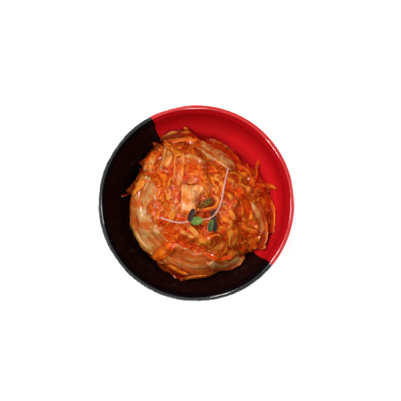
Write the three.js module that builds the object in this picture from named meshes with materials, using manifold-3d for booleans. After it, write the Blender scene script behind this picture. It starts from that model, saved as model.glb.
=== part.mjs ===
// Kimchi heaped in a small two-tone lacquer bowl, with two microgreen sprouts laid across the top.
// Millimetres, +Z up. The origin is the centre of the foot ring, on the face that it rests on.

import * as THREE from 'three';
import { mergeVertices } from 'three/addons/utils/BufferGeometryUtils.js';
import Module from 'manifold-3d';

const wasm = await Module();
wasm.setup();

// ---------------------------------------------------------------- Driving dimensions

const CLEARANCE = 0.3; // gap between two solids that touch

const BOWL = {
  height: 55,
  lipRadius: 57.5, // outside of the lip, the widest place
  lipEdgeRound: 0.5,
  lipFlat: 1.6, // width of the lip's flat top
  bevelWidth: 2.7, // slope from the flat top down to the inner wall
  bevelDepth: 2.6,
  mouthRadius: 52.4, // top of the inner wall
  mouthDrop: 3.2, // from the rim down to the top of the inner wall
  shoulderRadius: 56.6, // outer wall, just under the lip
  shoulderDrop: 4.4,
  floorHeight: 9, // inside floor above the table
  bellyHeight: 1.5, // where the outer wall would end if it had no foot
  roundness: 2.3, // exponent of the wall's superellipse; 2 is a half circle
  footRadius: 27.5,
  footJoinRadius: 28.6,
  footRound: 0.6,
  footWidth: 3.4,
  recessHeight: 4.2, // underside of the floor within the foot ring
  recessSlant: 0.7,
  segments: 56,
  innerSteps: 10,
  outerSteps: 6,
};

const HEAP = {
  centre: new THREE.Vector2(2.5, -1.5),
  crownHeight: 60, // summit, 5 mm above the rim
  edgeHeight: 33, // where the slope meets the outline
  fall: 2.4, // exponent of the slope: a broad top with steep flanks
  // Outline radius from the heap's centre, every 30 degrees from +X, anticlockwise.
  outlineRadii: [46, 42.5, 37.5, 42, 47, 43.5, 44, 44.5, 44, 45.5, 41, 44.5],
  coreDrop: 0.9, // the core lies this far under the pieces
  lumpHeight: 0.5,
  lumpLength: 13,
  bedDepth: 1.6, // least depth of food over the bowl's wall
  sectors: 36,
  rings: 7,
  headroom: 85, // top of the space that trims the heap
};

const LEAF_THICKNESS = 1.5;
const RIB_THICKNESS = 3.2;
const STRIP_THICKNESS = 1.8;

// How finely a piece is faceted, and how full it is between its ends.
const PIECE = {
  stepLength: 7,
  fewestSteps: 3,
  mostSteps: 5,
  wideFrom: 10, // a piece wider than this has three columns of facets
  fullness: 0.7,
};

// Shreds and leaves that fill the surface between the named pieces.
const FILLERS = {
  count: 11,
  seed: 41,
  reach: 0.82, // share of the outline that their middles keep within
  length: [13, 24],
  width: [5, 10],
  bend: 5, // sideways bow of the centre line
  lift: [-0.9, 0.1],
  ruffle: [0.3, 1.0],
};

const SPROUT = {
  stemRadius: 0.65,
  stemSides: 7,
  stemStep: 3, // length between the points of a stem
  leafThickness: 0.7,
  leafNeck: 0.2, // width of a seed leaf at its root, as a share of its full width
  leafFullness: 0.6,
  gap: 0.6, // least height of a stem or leaf above the heap
};

// ---------------------------------------------------------------- Small tools

/** Repeatable random numbers from 0 to 1 (mulberry32). */
function makeRandom(seed) {
  let state = seed;
  return () => {
    state = (state + 0x6d2b79f5) | 0;
    let t = Math.imul(state ^ (state >>> 15), 1 | state);
    t = (t + Math.imul(t ^ (t >>> 7), 61 | t)) ^ t;
    return ((t ^ (t >>> 14)) >>> 0) / 2 ** 32;
  };
}

const between = ([low, high], share) => low + (high - low) * share;

/** Catmull-Rom value between b and c, with a before and d after them. */
function blendFour(a, b, c, d, f) {
  return b + 0.5 * f * (c - a + f * (2 * a - 5 * b + 4 * c - d + f * (3 * (b - c) + d - a)));
}

/** A closed geometry as a solid for joining and cutting. */
function toSolid(geometry) {
  const bare = geometry.clone();
  bare.deleteAttribute('normal');
  bare.deleteAttribute('uv');
  const merged = mergeVertices(bare, 1e-4);
  const index = merged.index.array;
  const triangles = [];
  for (let i = 0; i < index.length; i += 3) {
    const [a, b, c] = [index[i], index[i + 1], index[i + 2]];
    if (a !== b && b !== c && c !== a) triangles.push(a, b, c);
  }
  return new wasm.Manifold(
    new wasm.Mesh({
      numProp: 3,
      vertProperties: new Float32Array(merged.attributes.position.array),
      triVerts: new Uint32Array(triangles),
    }),
  );
}

/** The largest connected piece of a solid, with any sealed hollow filled and any scrap dropped. */
function toGeometry(solid) {
  const shells = solid.decompose();
  const largest = shells.reduce((best, shell) => (shell.volume() > best.volume() ? shell : best));
  const mesh = largest.getMesh();
  const geometry = new THREE.BufferGeometry();
  geometry.setAttribute('position', new THREE.BufferAttribute(mesh.vertProperties, 3));
  geometry.setIndex(new THREE.BufferAttribute(mesh.triVerts, 1));
  geometry.computeVertexNormals();
  return geometry;
}

/** A profile of [radius, height] pairs turned round the Z axis. */
function turned(profile) {
  const points = profile.map(([radius, height]) => new THREE.Vector2(radius, height));
  return new THREE.LatheGeometry(points, BOWL.segments).rotateX(Math.PI / 2);
}

/**
 * A thin closed solid round the sheet surface(u, v), with u and v from -1 to 1.
 * Both faces are split into the same triangles, and a wall closes the edge.
 */
function sheetSolid(surface, thickness, lengthSteps, widthSteps) {
  const step = 1e-3;
  const rows = lengthSteps + 1;
  const columns = widthSteps + 1;
  const top = [];
  const bottom = [];
  for (let i = 0; i < rows; i++) {
    for (let j = 0; j < columns; j++) {
      const u = (2 * i) / lengthSteps - 1;
      const v = (2 * j) / widthSteps - 1;
      const point = surface(u, v);
      const along = surface(u + step, v).sub(surface(u - step, v));
      const across = surface(u, v + step).sub(surface(u, v - step));
      const half = along.cross(across).setLength(thickness / 2);
      top.push(...point.clone().add(half));
      bottom.push(...point.sub(half));
    }
  }
  const under = rows * columns;
  const at = (i, j) => i * columns + j;
  const triangles = [];
  for (let i = 0; i < lengthSteps; i++) {
    for (let j = 0; j < widthSteps; j++) {
      const [a, b, c, d] = [at(i, j), at(i + 1, j), at(i + 1, j + 1), at(i, j + 1)];
      triangles.push(a, b, c, a, c, d);
      triangles.push(under + a, under + c, under + b, under + a, under + d, under + c);
    }
  }
  const edge = [];
  for (let i = 0; i < lengthSteps; i++) edge.push(at(i, 0));
  for (let j = 0; j < widthSteps; j++) edge.push(at(lengthSteps, j));
  for (let i = lengthSteps; i > 0; i--) edge.push(at(i, widthSteps));
  for (let j = widthSteps; j > 0; j--) edge.push(at(0, j));
  edge.forEach((a, k) => {
    const b = edge[(k + 1) % edge.length];
    triangles.push(a, under + a, under + b, a, under + b, b);
  });
  const geometry = new THREE.BufferGeometry();
  geometry.setAttribute('position', new THREE.Float32BufferAttribute([...top, ...bottom], 3));
  geometry.setIndex(triangles);
  return geometry;
}

// ---------------------------------------------------------------- Bowl

/** Superellipse quarter from the mouth (turn 0) to the middle (turn 1), as [radius, height]. */
function wallPoint(mouthRadius, mouthHeight, lowest, turn) {
  const angle = (turn * Math.PI) / 2;
  const power = 2 / BOWL.roundness;
  return [
    mouthRadius * Math.cos(angle) ** power,
    mouthHeight - (mouthHeight - lowest) * Math.sin(angle) ** power,
  ];
}

/** Inner wall from the mouth to the middle of the floor, moved inward by an offset. */
function innerWall(offset) {
  const mouthHeight = BOWL.height - BOWL.mouthDrop;
  const points = [];
  for (let i = 0; i < BOWL.innerSteps; i++) {
    const turn = i / BOWL.innerSteps;
    points.push(wallPoint(BOWL.mouthRadius - offset, mouthHeight, BOWL.floorHeight + offset, turn));
  }
  points.push([0, BOWL.floorHeight + offset]);
  return points;
}

/** Outer wall from the foot up to the shoulder under the lip. */
function outerWall() {
  const mouthHeight = BOWL.height - BOWL.shoulderDrop;
  const power = BOWL.roundness / 2;
  const last = Math.acos((BOWL.footJoinRadius / BOWL.shoulderRadius) ** power) / (Math.PI / 2);
  const points = [];
  for (let i = BOWL.outerSteps; i >= 0; i--) {
    const turn = (last * i) / BOWL.outerSteps;
    points.push(wallPoint(BOWL.shoulderRadius, mouthHeight, BOWL.bellyHeight, turn));
  }
  return points;
}

function bowlGeometry() {
  const { height, lipRadius, lipEdgeRound, lipFlat, bevelWidth, bevelDepth } = BOWL;
  const { footRadius, footRound, footWidth, recessHeight, recessSlant } = BOWL;
  const flatInside = lipRadius - lipEdgeRound - lipFlat;
  return turned([
    [0, recessHeight],
    [footRadius - footWidth - recessSlant, recessHeight],
    [footRadius - footWidth, 0],
    [footRadius - footRound, 0],
    [footRadius, footRound],
    ...outerWall(),
    [lipRadius, height - bevelDepth],
    [lipRadius, height - lipEdgeRound],
    [lipRadius - lipEdgeRound, height],
    [flatInside, height],
    [flatInside - bevelWidth, height - bevelDepth],
    ...innerWall(0),
  ]);
}

/** The bowl's inner space, a clearance in from the wall and open far above the rim. */
function innerSpace() {
  const wall = innerWall(CLEARANCE);
  return toSolid(turned([...wall.reverse(), [wall.at(-1)[0], HEAP.headroom], [0, HEAP.headroom]]));
}

/** Height of the inner wall or floor at a distance from the axis. */
function wallHeight(radius) {
  const mouthHeight = BOWL.height - BOWL.mouthDrop;
  const share = Math.min(radius / BOWL.mouthRadius, 1) ** BOWL.roundness;
  return mouthHeight - (mouthHeight - BOWL.floorHeight) * (1 - share) ** (1 / BOWL.roundness);
}

// ---------------------------------------------------------------- Kimchi

function outlineRadius(angle) {
  const radii = HEAP.outlineRadii;
  const place = ((angle / (2 * Math.PI)) * radii.length + radii.length) % radii.length;
  const whole = Math.floor(place);
  const pick = (k) => radii[(whole + k + radii.length) % radii.length];
  return blendFour(pick(-1), pick(0), pick(1), pick(2), place - whole);
}

/** Height of the heap's smooth form: a broad top, steep flanks and a skirt on the bowl's wall. */
function heapHeight(x, y) {
  const dx = x - HEAP.centre.x;
  const dy = y - HEAP.centre.y;
  const share = Math.hypot(dx, dy) / outlineRadius(Math.atan2(dy, dx));
  const slope = HEAP.crownHeight - (HEAP.crownHeight - HEAP.edgeHeight) * share ** HEAP.fall;
  return Math.max(slope, wallHeight(Math.hypot(x, y)) + HEAP.bedDepth);
}

/** Low uneven lumps, from waves that cross at three angles. */
function lumps(x, y) {
  const wave = (angle, stretch) => {
    const along = x * Math.cos(angle) + y * Math.sin(angle);
    return Math.sin((2 * Math.PI * along) / (HEAP.lumpLength * stretch) + angle);
  };
  return (HEAP.lumpHeight * (wave(0.3, 1) + wave(1.4, 1.27) + wave(2.5, 0.83))) / 2;
}

/** The heap under its loose pieces: rings of points over the form, closed below the bowl's floor. */
function coreGeometry() {
  const positions = [];
  const { sectors, rings, centre } = HEAP;
  const top = (x, y) => heapHeight(x, y) - HEAP.coreDrop + lumps(x, y);
  positions.push(centre.x, centre.y, top(centre.x, centre.y));
  for (let ring = 1; ring <= rings; ring++) {
    for (let k = 0; k < sectors; k++) {
      const angle = (2 * Math.PI * k) / sectors;
      const radius = outlineRadius(angle) * (ring / rings);
      const x = centre.x + radius * Math.cos(angle);
      const y = centre.y + radius * Math.sin(angle);
      positions.push(x, y, top(x, y));
    }
  }
  for (let k = 0; k < sectors; k++) {
    const angle = (2 * Math.PI * k) / sectors;
    const radius = outlineRadius(angle);
    positions.push(centre.x + radius * Math.cos(angle), centre.y + radius * Math.sin(angle), 0);
  }
  const middleBelow = positions.length / 3;
  positions.push(centre.x, centre.y, 0);
  const at = (ring, k) => 1 + (ring - 1) * sectors + (k % sectors);
  const triangles = [];
  for (let k = 0; k < sectors; k++) {
    triangles.push(0, at(1, k), at(1, k + 1));
    for (let ring = 1; ring <= rings; ring++) {
      triangles.push(at(ring, k), at(ring + 1, k), at(ring + 1, k + 1));
      triangles.push(at(ring, k), at(ring + 1, k + 1), at(ring, k + 1));
    }
    triangles.push(middleBelow, at(rings + 1, k + 1), at(rings + 1, k));
  }
  const geometry = new THREE.BufferGeometry();
  geometry.setAttribute('position', new THREE.Float32BufferAttribute(positions, 3));
  geometry.setIndex(triangles);
  return geometry;
}

/**
 * A leaf, rib or shred laid over the heap.
 * path: its centre line seen from above; width: at the middle; taper: share of it left at the ends.
 * lift: height over the heap's form at the start, middle and end; arch: how far its middle stands
 * proud of its long edges; ruffle: height of the waves along them.
 */
function piece({ path, width, thickness, lift = [0, 0, 0], arch = 0.6, taper = 0.45, ruffle = 0.5, waves = 3 }) {
  const line = new THREE.SplineCurve(path.map(([x, y]) => new THREE.Vector2(x, y)));
  const wanted = Math.round(line.getLength() / PIECE.stepLength);
  const steps = THREE.MathUtils.clamp(wanted, PIECE.fewestSteps, PIECE.mostSteps);
  const widthSteps = width > PIECE.wideFrom ? 3 : 2;
  const surface = (u, v) => {
    const share = THREE.MathUtils.clamp((u + 1) / 2, 0, 1);
    const middle = line.getPointAt(share);
    const heading = line.getTangentAt(share);
    const bulge = Math.max(0, Math.cos((u * Math.PI) / 2)) ** PIECE.fullness;
    const half = (width / 2) * (taper + (1 - taper) * bulge);
    const beyond = (u - (2 * share - 1)) * (line.getLength() / 2);
    const x = middle.x + heading.x * beyond - heading.y * half * v;
    const y = middle.y + heading.y * beyond + heading.x * half * v;
    const rise = lift[0] * 0.5 * u * (u - 1) + lift[1] * (1 - u * u) + lift[2] * 0.5 * u * (u + 1);
    const wave = ruffle * v * Math.abs(v) * Math.sin(waves * Math.PI * u + width);
    return new THREE.Vector3(x, y, heapHeight(x, y) + rise + arch * (0.6 - v * v) + wave);
  };
  return toSolid(sheetSolid(surface, thickness, steps, widthSteps));
}

const leaf = (sizes) => piece({ thickness: LEAF_THICKNESS, ...sizes });
const rib = (sizes) => piece({ thickness: RIB_THICKNESS, ruffle: 0.2, taper: 0.75, ...sizes });
const strip = (sizes) => piece({ thickness: STRIP_THICKNESS, ruffle: 0.3, taper: 0.6, ...sizes });

/** Pieces that show as themselves, from the far edge round to the middle. */
function namedPieces() {
  return [
    strip({ path: [[-7, 47], [-3, 43], [0.5, 39], [6, 35]], width: 4.2, lift: [4, 3, 1] }),
    leaf({ path: [[-20, 39], [-10, 42], [3, 39]], width: 7, lift: [0, 1, 0] }),
    rib({ path: [[-14, 32], [-20, 21]], width: 8, lift: [0.5, 0.8, 0] }),
    rib({ path: [[-26.5, 32], [-29.5, 22]], width: 7 }),
    strip({ path: [[-26, 38], [-20, 33]], width: 4, lift: [1, 0.5, 0] }),
    strip({ path: [[-34.5, 27], [-27.5, 23]], width: 4.5, lift: [1, 0.5, 0] }),
    leaf({ path: [[-32.5, 17], [-36, 11.5], [-40.5, 7]], width: 7 }),
    strip({ path: [[-39, 7.5], [-46.5, 4.5]], width: 1.8, lift: [0.5, 0.5, 0] }),
    leaf({ path: [[-28.5, 8], [-33.5, -4], [-32.5, -15]], width: 16, lift: [0, 0.4, 0], ruffle: 0.8 }),
    leaf({ path: [[-36.5, -15], [-27.5, -24], [-16.5, -31]], width: 14, ruffle: 0.9 }),
    strip({ path: [[-11, -19.5], [-16.5, -27], [-25.5, -35]], width: 5.2, lift: [0.5, 1, 1.2] }),
    leaf({ path: [[-16.5, -28], [-4.5, -35], [7.5, -35.5]], width: 14, lift: [0, 0.4, 0] }),
    strip({ path: [[-18, -39.5], [-8, -45.5]], width: 5, lift: [0.5, 0.5, 0] }),
    strip({ path: [[-9, -46.5], [8, -44.5]], width: 2.4, lift: [0.6, 0.6, 0.6] }),
    leaf({ path: [[7, -33], [18, -36], [27.5, -31]], width: 10, ruffle: 0.9 }),
    strip({ path: [[25, -22], [30, -30]], width: 4, lift: [0.3, 0.6, 0.6] }),
    leaf({ path: [[33.5, -7], [38, -17], [38, -26]], width: 11, lift: [0, 0.6, 0.4], ruffle: 0.8 }),
    strip({ path: [[43.5, 4.5], [47, -5], [45, -19]], width: 6, lift: [0.5, 0.8, 0.5], ruffle: 0.8 }),
    leaf({ path: [[31, 9.5], [41, 11], [48.5, 9]], width: 7.5, lift: [0.6, 1.2, 1] }),
    strip({ path: [[32.5, 26], [32, 15.5], [38, 17], [39, 27]], width: 2.6, lift: [1, 1, 1] }),
    leaf({ path: [[4.5, 39], [16.5, 32], [29, 17.5]], width: 12, lift: [0.2, 0.6, 0.4] }),
    leaf({ path: [[-3.5, 32], [11.5, 26], [19.5, 21]], width: 9, lift: [0.2, 0.5, 0.2] }),
    leaf({ path: [[-24.5, 19], [-18.5, 10.5], [-21.5, 1.5]], width: 11, ruffle: 0.7 }),
    leaf({ path: [[5, 13], [15, 12], [18.5, 4]], width: 8, lift: [0.3, 0.6, 0.2] }),
    leaf({ path: [[17.5, 8.5], [22.5, 15], [28.5, 11.5]], width: 8, ruffle: 0.8 }),
    leaf({ path: [[22, 4], [25, -4], [22, -12]], width: 13, lift: [0, 0.5, 0] }),
    rib({ path: [[-20, -11.5], [-16.5, -5.5], [-12, -2]], width: 11, lift: [0, 0.4, 0] }),
    strip({ path: [[-7, 28], [-9, 18], [-11, 7.5]], width: 5.4, lift: [0.4, 1.2, 0.4], arch: 1.4 }),
    strip({ path: [[-5.5, -17], [-1, -23], [3.5, -27], [8, -28]], width: 3.6, lift: [0.8, 1.2, 1] }),
    strip({ path: [[8.5, -28], [9, -23.5], [13, -22.5]], width: 3.2, lift: [0.8, 1, 0.6] }),
    leaf({ path: [[21, -10.5], [20, -18.5], [23, -26.5]], width: 7, lift: [0.4, 1, 0.4], arch: -1 }),
    strip({ path: [[4, -29.5], [13.5, -33.5], [22.5, -32]], width: 3, lift: [0.5, 0.8, 0.5] }),
    leaf({ path: [[0, -8], [9, -6.5], [12, 0], [9.5, 4]], width: 3.4, lift: [0.6, 0.8, 0.6] }),
    rib({ path: [[-9.5, 8], [-4, 3], [0, -3]], width: 11.5, lift: [0.4, 0.8, 0], taper: 0.85 }),
  ];
}

/** Shreds spread evenly over the heap, outward along a sunflower spiral. */
function fillerPieces() {
  const random = makeRandom(FILLERS.seed);
  const goldenAngle = Math.PI * (3 - Math.sqrt(5));
  return Array.from({ length: FILLERS.count }, (_, k) => {
    const angle = (k * goldenAngle) % (2 * Math.PI);
    const radius = FILLERS.reach * outlineRadius(angle) * Math.sqrt((k + 0.5) / FILLERS.count);
    const middle = new THREE.Vector2(radius * Math.cos(angle), radius * Math.sin(angle)).add(HEAP.centre);
    const heading = random() * 2 * Math.PI;
    const along = new THREE.Vector2(Math.cos(heading), Math.sin(heading));
    const half = between(FILLERS.length, random()) / 2;
    const bow = (random() - 0.5) * 2 * FILLERS.bend;
    const middleBowed = middle.clone().add(new THREE.Vector2(-along.y, along.x).multiplyScalar(bow));
    const start = middle.clone().addScaledVector(along, -half);
    const end = middle.clone().addScaledVector(along, half);
    return leaf({
      path: [start.toArray(), middleBowed.toArray(), end.toArray()],
      width: between(FILLERS.width, random()),
      lift: [random(), random(), random()].map((share) => between(FILLERS.lift, share)),
      ruffle: between(FILLERS.ruffle, random()),
    });
  });
}

function kimchiGeometry() {
  const pieces = [...fillerPieces(), ...namedPieces()];
  const whole = pieces.reduce((solid, next) => solid.add(next), toSolid(coreGeometry()));
  return toGeometry(whole.intersect(innerSpace()));
}

// ---------------------------------------------------------------- Sprouts

/** Highest point of a mesh within a distance of (x, y). */
function topUnder(mesh, x, y, reach) {
  const caster = new THREE.Raycaster();
  const down = new THREE.Vector3(0, 0, -1);
  const spots = [[0, 0]];
  for (let k = 0; k < 8; k++) spots.push([Math.cos((k * Math.PI) / 4), Math.sin((k * Math.PI) / 4)]);
  let highest = 0;
  for (const [dx, dy] of spots) {
    caster.set(new THREE.Vector3(x + dx * reach, y + dy * reach, HEAP.headroom), down);
    const hit = caster.intersectObject(mesh)[0];
    if (hit) highest = Math.max(highest, hit.point.z);
  }
  return highest;
}

/** A round stem along a curve. */
function stemSolid(curve, steps) {
  const section = new THREE.Shape();
  for (let k = 0; k < SPROUT.stemSides; k++) {
    const angle = (2 * Math.PI * k) / SPROUT.stemSides;
    const [x, y] = [SPROUT.stemRadius * Math.cos(angle), SPROUT.stemRadius * Math.sin(angle)];
    if (k === 0) section.moveTo(x, y);
    else section.lineTo(x, y);
  }
  return toSolid(new THREE.ExtrudeGeometry(section, { steps, extrudePath: curve }));
}

/** A stem's curve over the heap, raised clear of what lies under it and ending at a set height. */
function restingCurve(mesh, path, arch, endHeight) {
  const line = new THREE.SplineCurve(path.map(([x, y]) => new THREE.Vector2(x, y)));
  const last = Math.max(4, Math.round(line.getLength() / SPROUT.stemStep));
  const reach = SPROUT.stemRadius + CLEARANCE;
  const spots = line.getSpacedPoints(last);
  const clear = spots.map(({ x, y }) => topUnder(mesh, x, y, reach) + SPROUT.stemRadius + SPROUT.gap);
  const points = spots.map(({ x, y }, i) => {
    const near = Math.max(clear[Math.max(i - 1, 0)], clear[i], clear[Math.min(i + 1, last)]);
    const arched = near + arch * Math.sin((Math.PI * i) / last);
    return new THREE.Vector3(x, y, i === last ? Math.max(clear[i], endHeight) : arched);
  });
  return new THREE.CatmullRomCurve3(points);
}

/** The surface of a seed leaf from its root to its tip, with the root at a height. */
function cotyledonSurface({ root, tip, width, drop = 0, tilt = 0, cup = 0.5 }, rootHeight) {
  const from = new THREE.Vector2(...root);
  const along = new THREE.Vector2(...tip).sub(from);
  const length = along.length();
  along.normalize();
  return (u, v) => {
    const share = (u + 1) / 2;
    const round = Math.sin(Math.PI * THREE.MathUtils.clamp(0.08 + 0.82 * share, 0, 1));
    const bulge = SPROUT.leafNeck + (1 - SPROUT.leafNeck) * round ** SPROUT.leafFullness;
    const side = (width / 2) * bulge * v;
    const x = from.x + along.x * length * share - along.y * side;
    const y = from.y + along.y * length * share + along.x * side;
    return new THREE.Vector3(x, y, rootHeight - drop * share + bulge * (tilt * v + cup * v * v));
  };
}

/** The lowest height for a seed leaf's root that keeps the whole leaf clear of the heap. */
function clearRootHeight(mesh, sizes) {
  const surface = cotyledonSurface(sizes, 0);
  let needed = 0;
  for (let u = -1; u <= 1; u += 0.5) {
    for (let v = -1; v <= 1; v += 1) {
      const spot = surface(u, v);
      needed = Math.max(needed, topUnder(mesh, spot.x, spot.y, CLEARANCE) - spot.z);
    }
  }
  return needed + SPROUT.leafThickness / 2 + SPROUT.gap;
}

/** A sprout: a stem over the heap that carries its seed leaves at its end, and any leaf stalks. */
function sproutGeometry(mesh, { stem, arch, leaves, stalks = [] }) {
  const endHeight = Math.max(...leaves.map((sizes) => clearRootHeight(mesh, sizes)));
  const curve = restingCurve(mesh, stem, arch, endHeight);
  const end = curve.points.at(-1);
  const solids = [stemSolid(curve, Math.round(curve.getLength() / SPROUT.stemStep))];
  for (const path of stalks) {
    const points = path.map(([x, y]) => new THREE.Vector3(x, y, end.z));
    solids.push(stemSolid(new THREE.CatmullRomCurve3([end.clone(), ...points]), 3));
  }
  for (const sizes of leaves) {
    solids.push(toSolid(sheetSolid(cotyledonSurface(sizes, end.z), SPROUT.leafThickness, 5, 2)));
  }
  return toGeometry(solids.reduce((all, next) => all.add(next)));
}

/** Long arched stem, a stalk to a green seed leaf, and a green leaf over a dark one at the fork. */
const LONG_SPROUT = {
  stem: [[18.2, 20.2], [16.7, 14.7], [14.9, 6.8], [13.6, 0.3], [11.8, -4.3], [9.6, -7.6]],
  arch: 1.2,
  stalks: [[[6.6, -9.3], [3.2, -10]]],
  leaves: [
    { root: [4.2, -9.9], tip: [-3.8, -11.2], width: 4.7 },
    { root: [9.8, -7], tip: [7.7, -16.4], width: 3.8, drop: 0.6, tilt: -0.3 },
    { root: [9.4, -6.6], tip: [11, -17], width: 3, drop: 0.8, tilt: 0.3 },
  ],
};

/** Short low stem with a dark seed leaf turned aside. */
const SHORT_SPROUT = {
  stem: [[-21, -8.1], [-17.8, -9.8], [-12.6, -11.1], [-8, -11.4], [-5.8, -10]],
  arch: 0.3,
  leaves: [{ root: [-6.2, -10.3], tip: [-1.8, -3.6], width: 3.6 }],
};

// ---------------------------------------------------------------- Scene graph

const FINISHES = {
  lacquer: new THREE.MeshStandardMaterial({ color: 0x1b0b08, roughness: 0.25, metalness: 0 }),
  kimchi: new THREE.MeshStandardMaterial({ color: 0xc95c24, roughness: 0.3, metalness: 0 }),
  sprout: new THREE.MeshStandardMaterial({ color: 0x6e8a4c, roughness: 0.45, metalness: 0 }),
};

function named(name, geometry, finish) {
  const mesh = new THREE.Mesh(geometry, finish);
  mesh.name = name;
  return mesh;
}

const group = new THREE.Group();
const heap = named('kimchi_heap', kimchiGeometry(), FINISHES.kimchi);
group.add(named('bowl', bowlGeometry(), FINISHES.lacquer));
group.add(heap);
group.add(named('sprout_long', sproutGeometry(heap, LONG_SPROUT), FINISHES.sprout));
group.add(named('sprout_short', sproutGeometry(heap, SHORT_SPROUT), FINISHES.sprout));

export default group;
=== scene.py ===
"""Kimchi heaped in a small red and black lacquer bowl, with microgreen sprouts laid across the top.

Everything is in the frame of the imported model: metres, +Z up, origin under the middle of the foot.
The heap and the sprouts are worked out in millimetres and turned into metres when their meshes are made.
"""

import logging
import math
from dataclasses import dataclass, field
from enum import Enum
from typing import Any, Callable, Sequence

import bpy
import numpy as np
from mathutils import Matrix, Vector


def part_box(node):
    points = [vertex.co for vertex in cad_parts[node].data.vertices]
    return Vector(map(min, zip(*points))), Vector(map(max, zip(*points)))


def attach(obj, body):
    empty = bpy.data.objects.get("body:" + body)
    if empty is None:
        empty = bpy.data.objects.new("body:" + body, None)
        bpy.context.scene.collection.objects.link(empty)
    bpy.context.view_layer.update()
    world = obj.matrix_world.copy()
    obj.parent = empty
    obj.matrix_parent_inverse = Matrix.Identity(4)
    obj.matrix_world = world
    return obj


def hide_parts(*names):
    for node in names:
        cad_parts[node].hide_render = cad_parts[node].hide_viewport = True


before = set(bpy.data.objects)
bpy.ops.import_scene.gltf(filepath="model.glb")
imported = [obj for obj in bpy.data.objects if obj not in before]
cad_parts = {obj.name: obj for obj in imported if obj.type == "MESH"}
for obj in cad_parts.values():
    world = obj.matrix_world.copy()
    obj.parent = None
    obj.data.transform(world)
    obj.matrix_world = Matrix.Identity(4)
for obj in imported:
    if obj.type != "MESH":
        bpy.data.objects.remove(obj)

LOG = logging.getLogger("kimchi")
MM = 0.001
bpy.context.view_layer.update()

Colour = tuple[float, float, float]
Values = dict[Any, Any]
Points = Sequence[tuple[float, float]]
Corners = list[tuple[float, float, float]]

WALL_GAP = 0.4  # least height of the heap's core over the bowl's inside, in millimetres
SPLINE_STEPS = 24  # samples between two knots of a smooth curve
TINY = 1e-9  # least length that a vector is divided by


def srgb(red: float, green: float, blue: float) -> Colour:
    """Turn a colour of 0 to 255 screen values into linear light."""
    def linear(value: float) -> float:
        """Return one channel as linear light."""
        share = value / 255
        return share / 12.92 if share <= 0.04045 else ((share + 0.055) / 1.055) ** 2.4

    return linear(red), linear(green), linear(blue)


# ---------------------------------------------------------------------------- shader maths


class Shade:
    """A node's output, on which + - * / and the like add Math nodes."""

    def __init__(self, book: "NodeBook", socket: bpy.types.NodeSocket) -> None:
        """Wrap a socket of a book's tree."""
        self.book = book
        self.socket = socket

    def math(self, operation: str, first: Any, second: Any = 0.0) -> "Shade":
        """Add a Math node with a number or Shade in each of its two sockets."""
        return self.book.node("ShaderNodeMath", {"operation": operation}, {0: first, 1: second})

    def __add__(self, other: Any) -> "Shade":
        """Return self + other."""
        return self.math("ADD", self, other)

    def __radd__(self, other: Any) -> "Shade":
        """Return other + self."""
        return self.math("ADD", other, self)

    def __sub__(self, other: Any) -> "Shade":
        """Return self - other."""
        return self.math("SUBTRACT", self, other)

    def __rsub__(self, other: Any) -> "Shade":
        """Return other - self."""
        return self.math("SUBTRACT", other, self)

    def __mul__(self, other: Any) -> "Shade":
        """Return self * other."""
        return self.math("MULTIPLY", self, other)

    def __rmul__(self, other: Any) -> "Shade":
        """Return other * self."""
        return self.math("MULTIPLY", other, self)

    def ramp(self, low: float, high: float) -> "Shade":
        """Return a smooth step that is 0 at low and 1 at high."""
        settings = {"interpolation_type": "SMOOTHSTEP"}
        return self.book.node("ShaderNodeMapRange", settings, {0: self, 1: low, 2: high})


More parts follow.
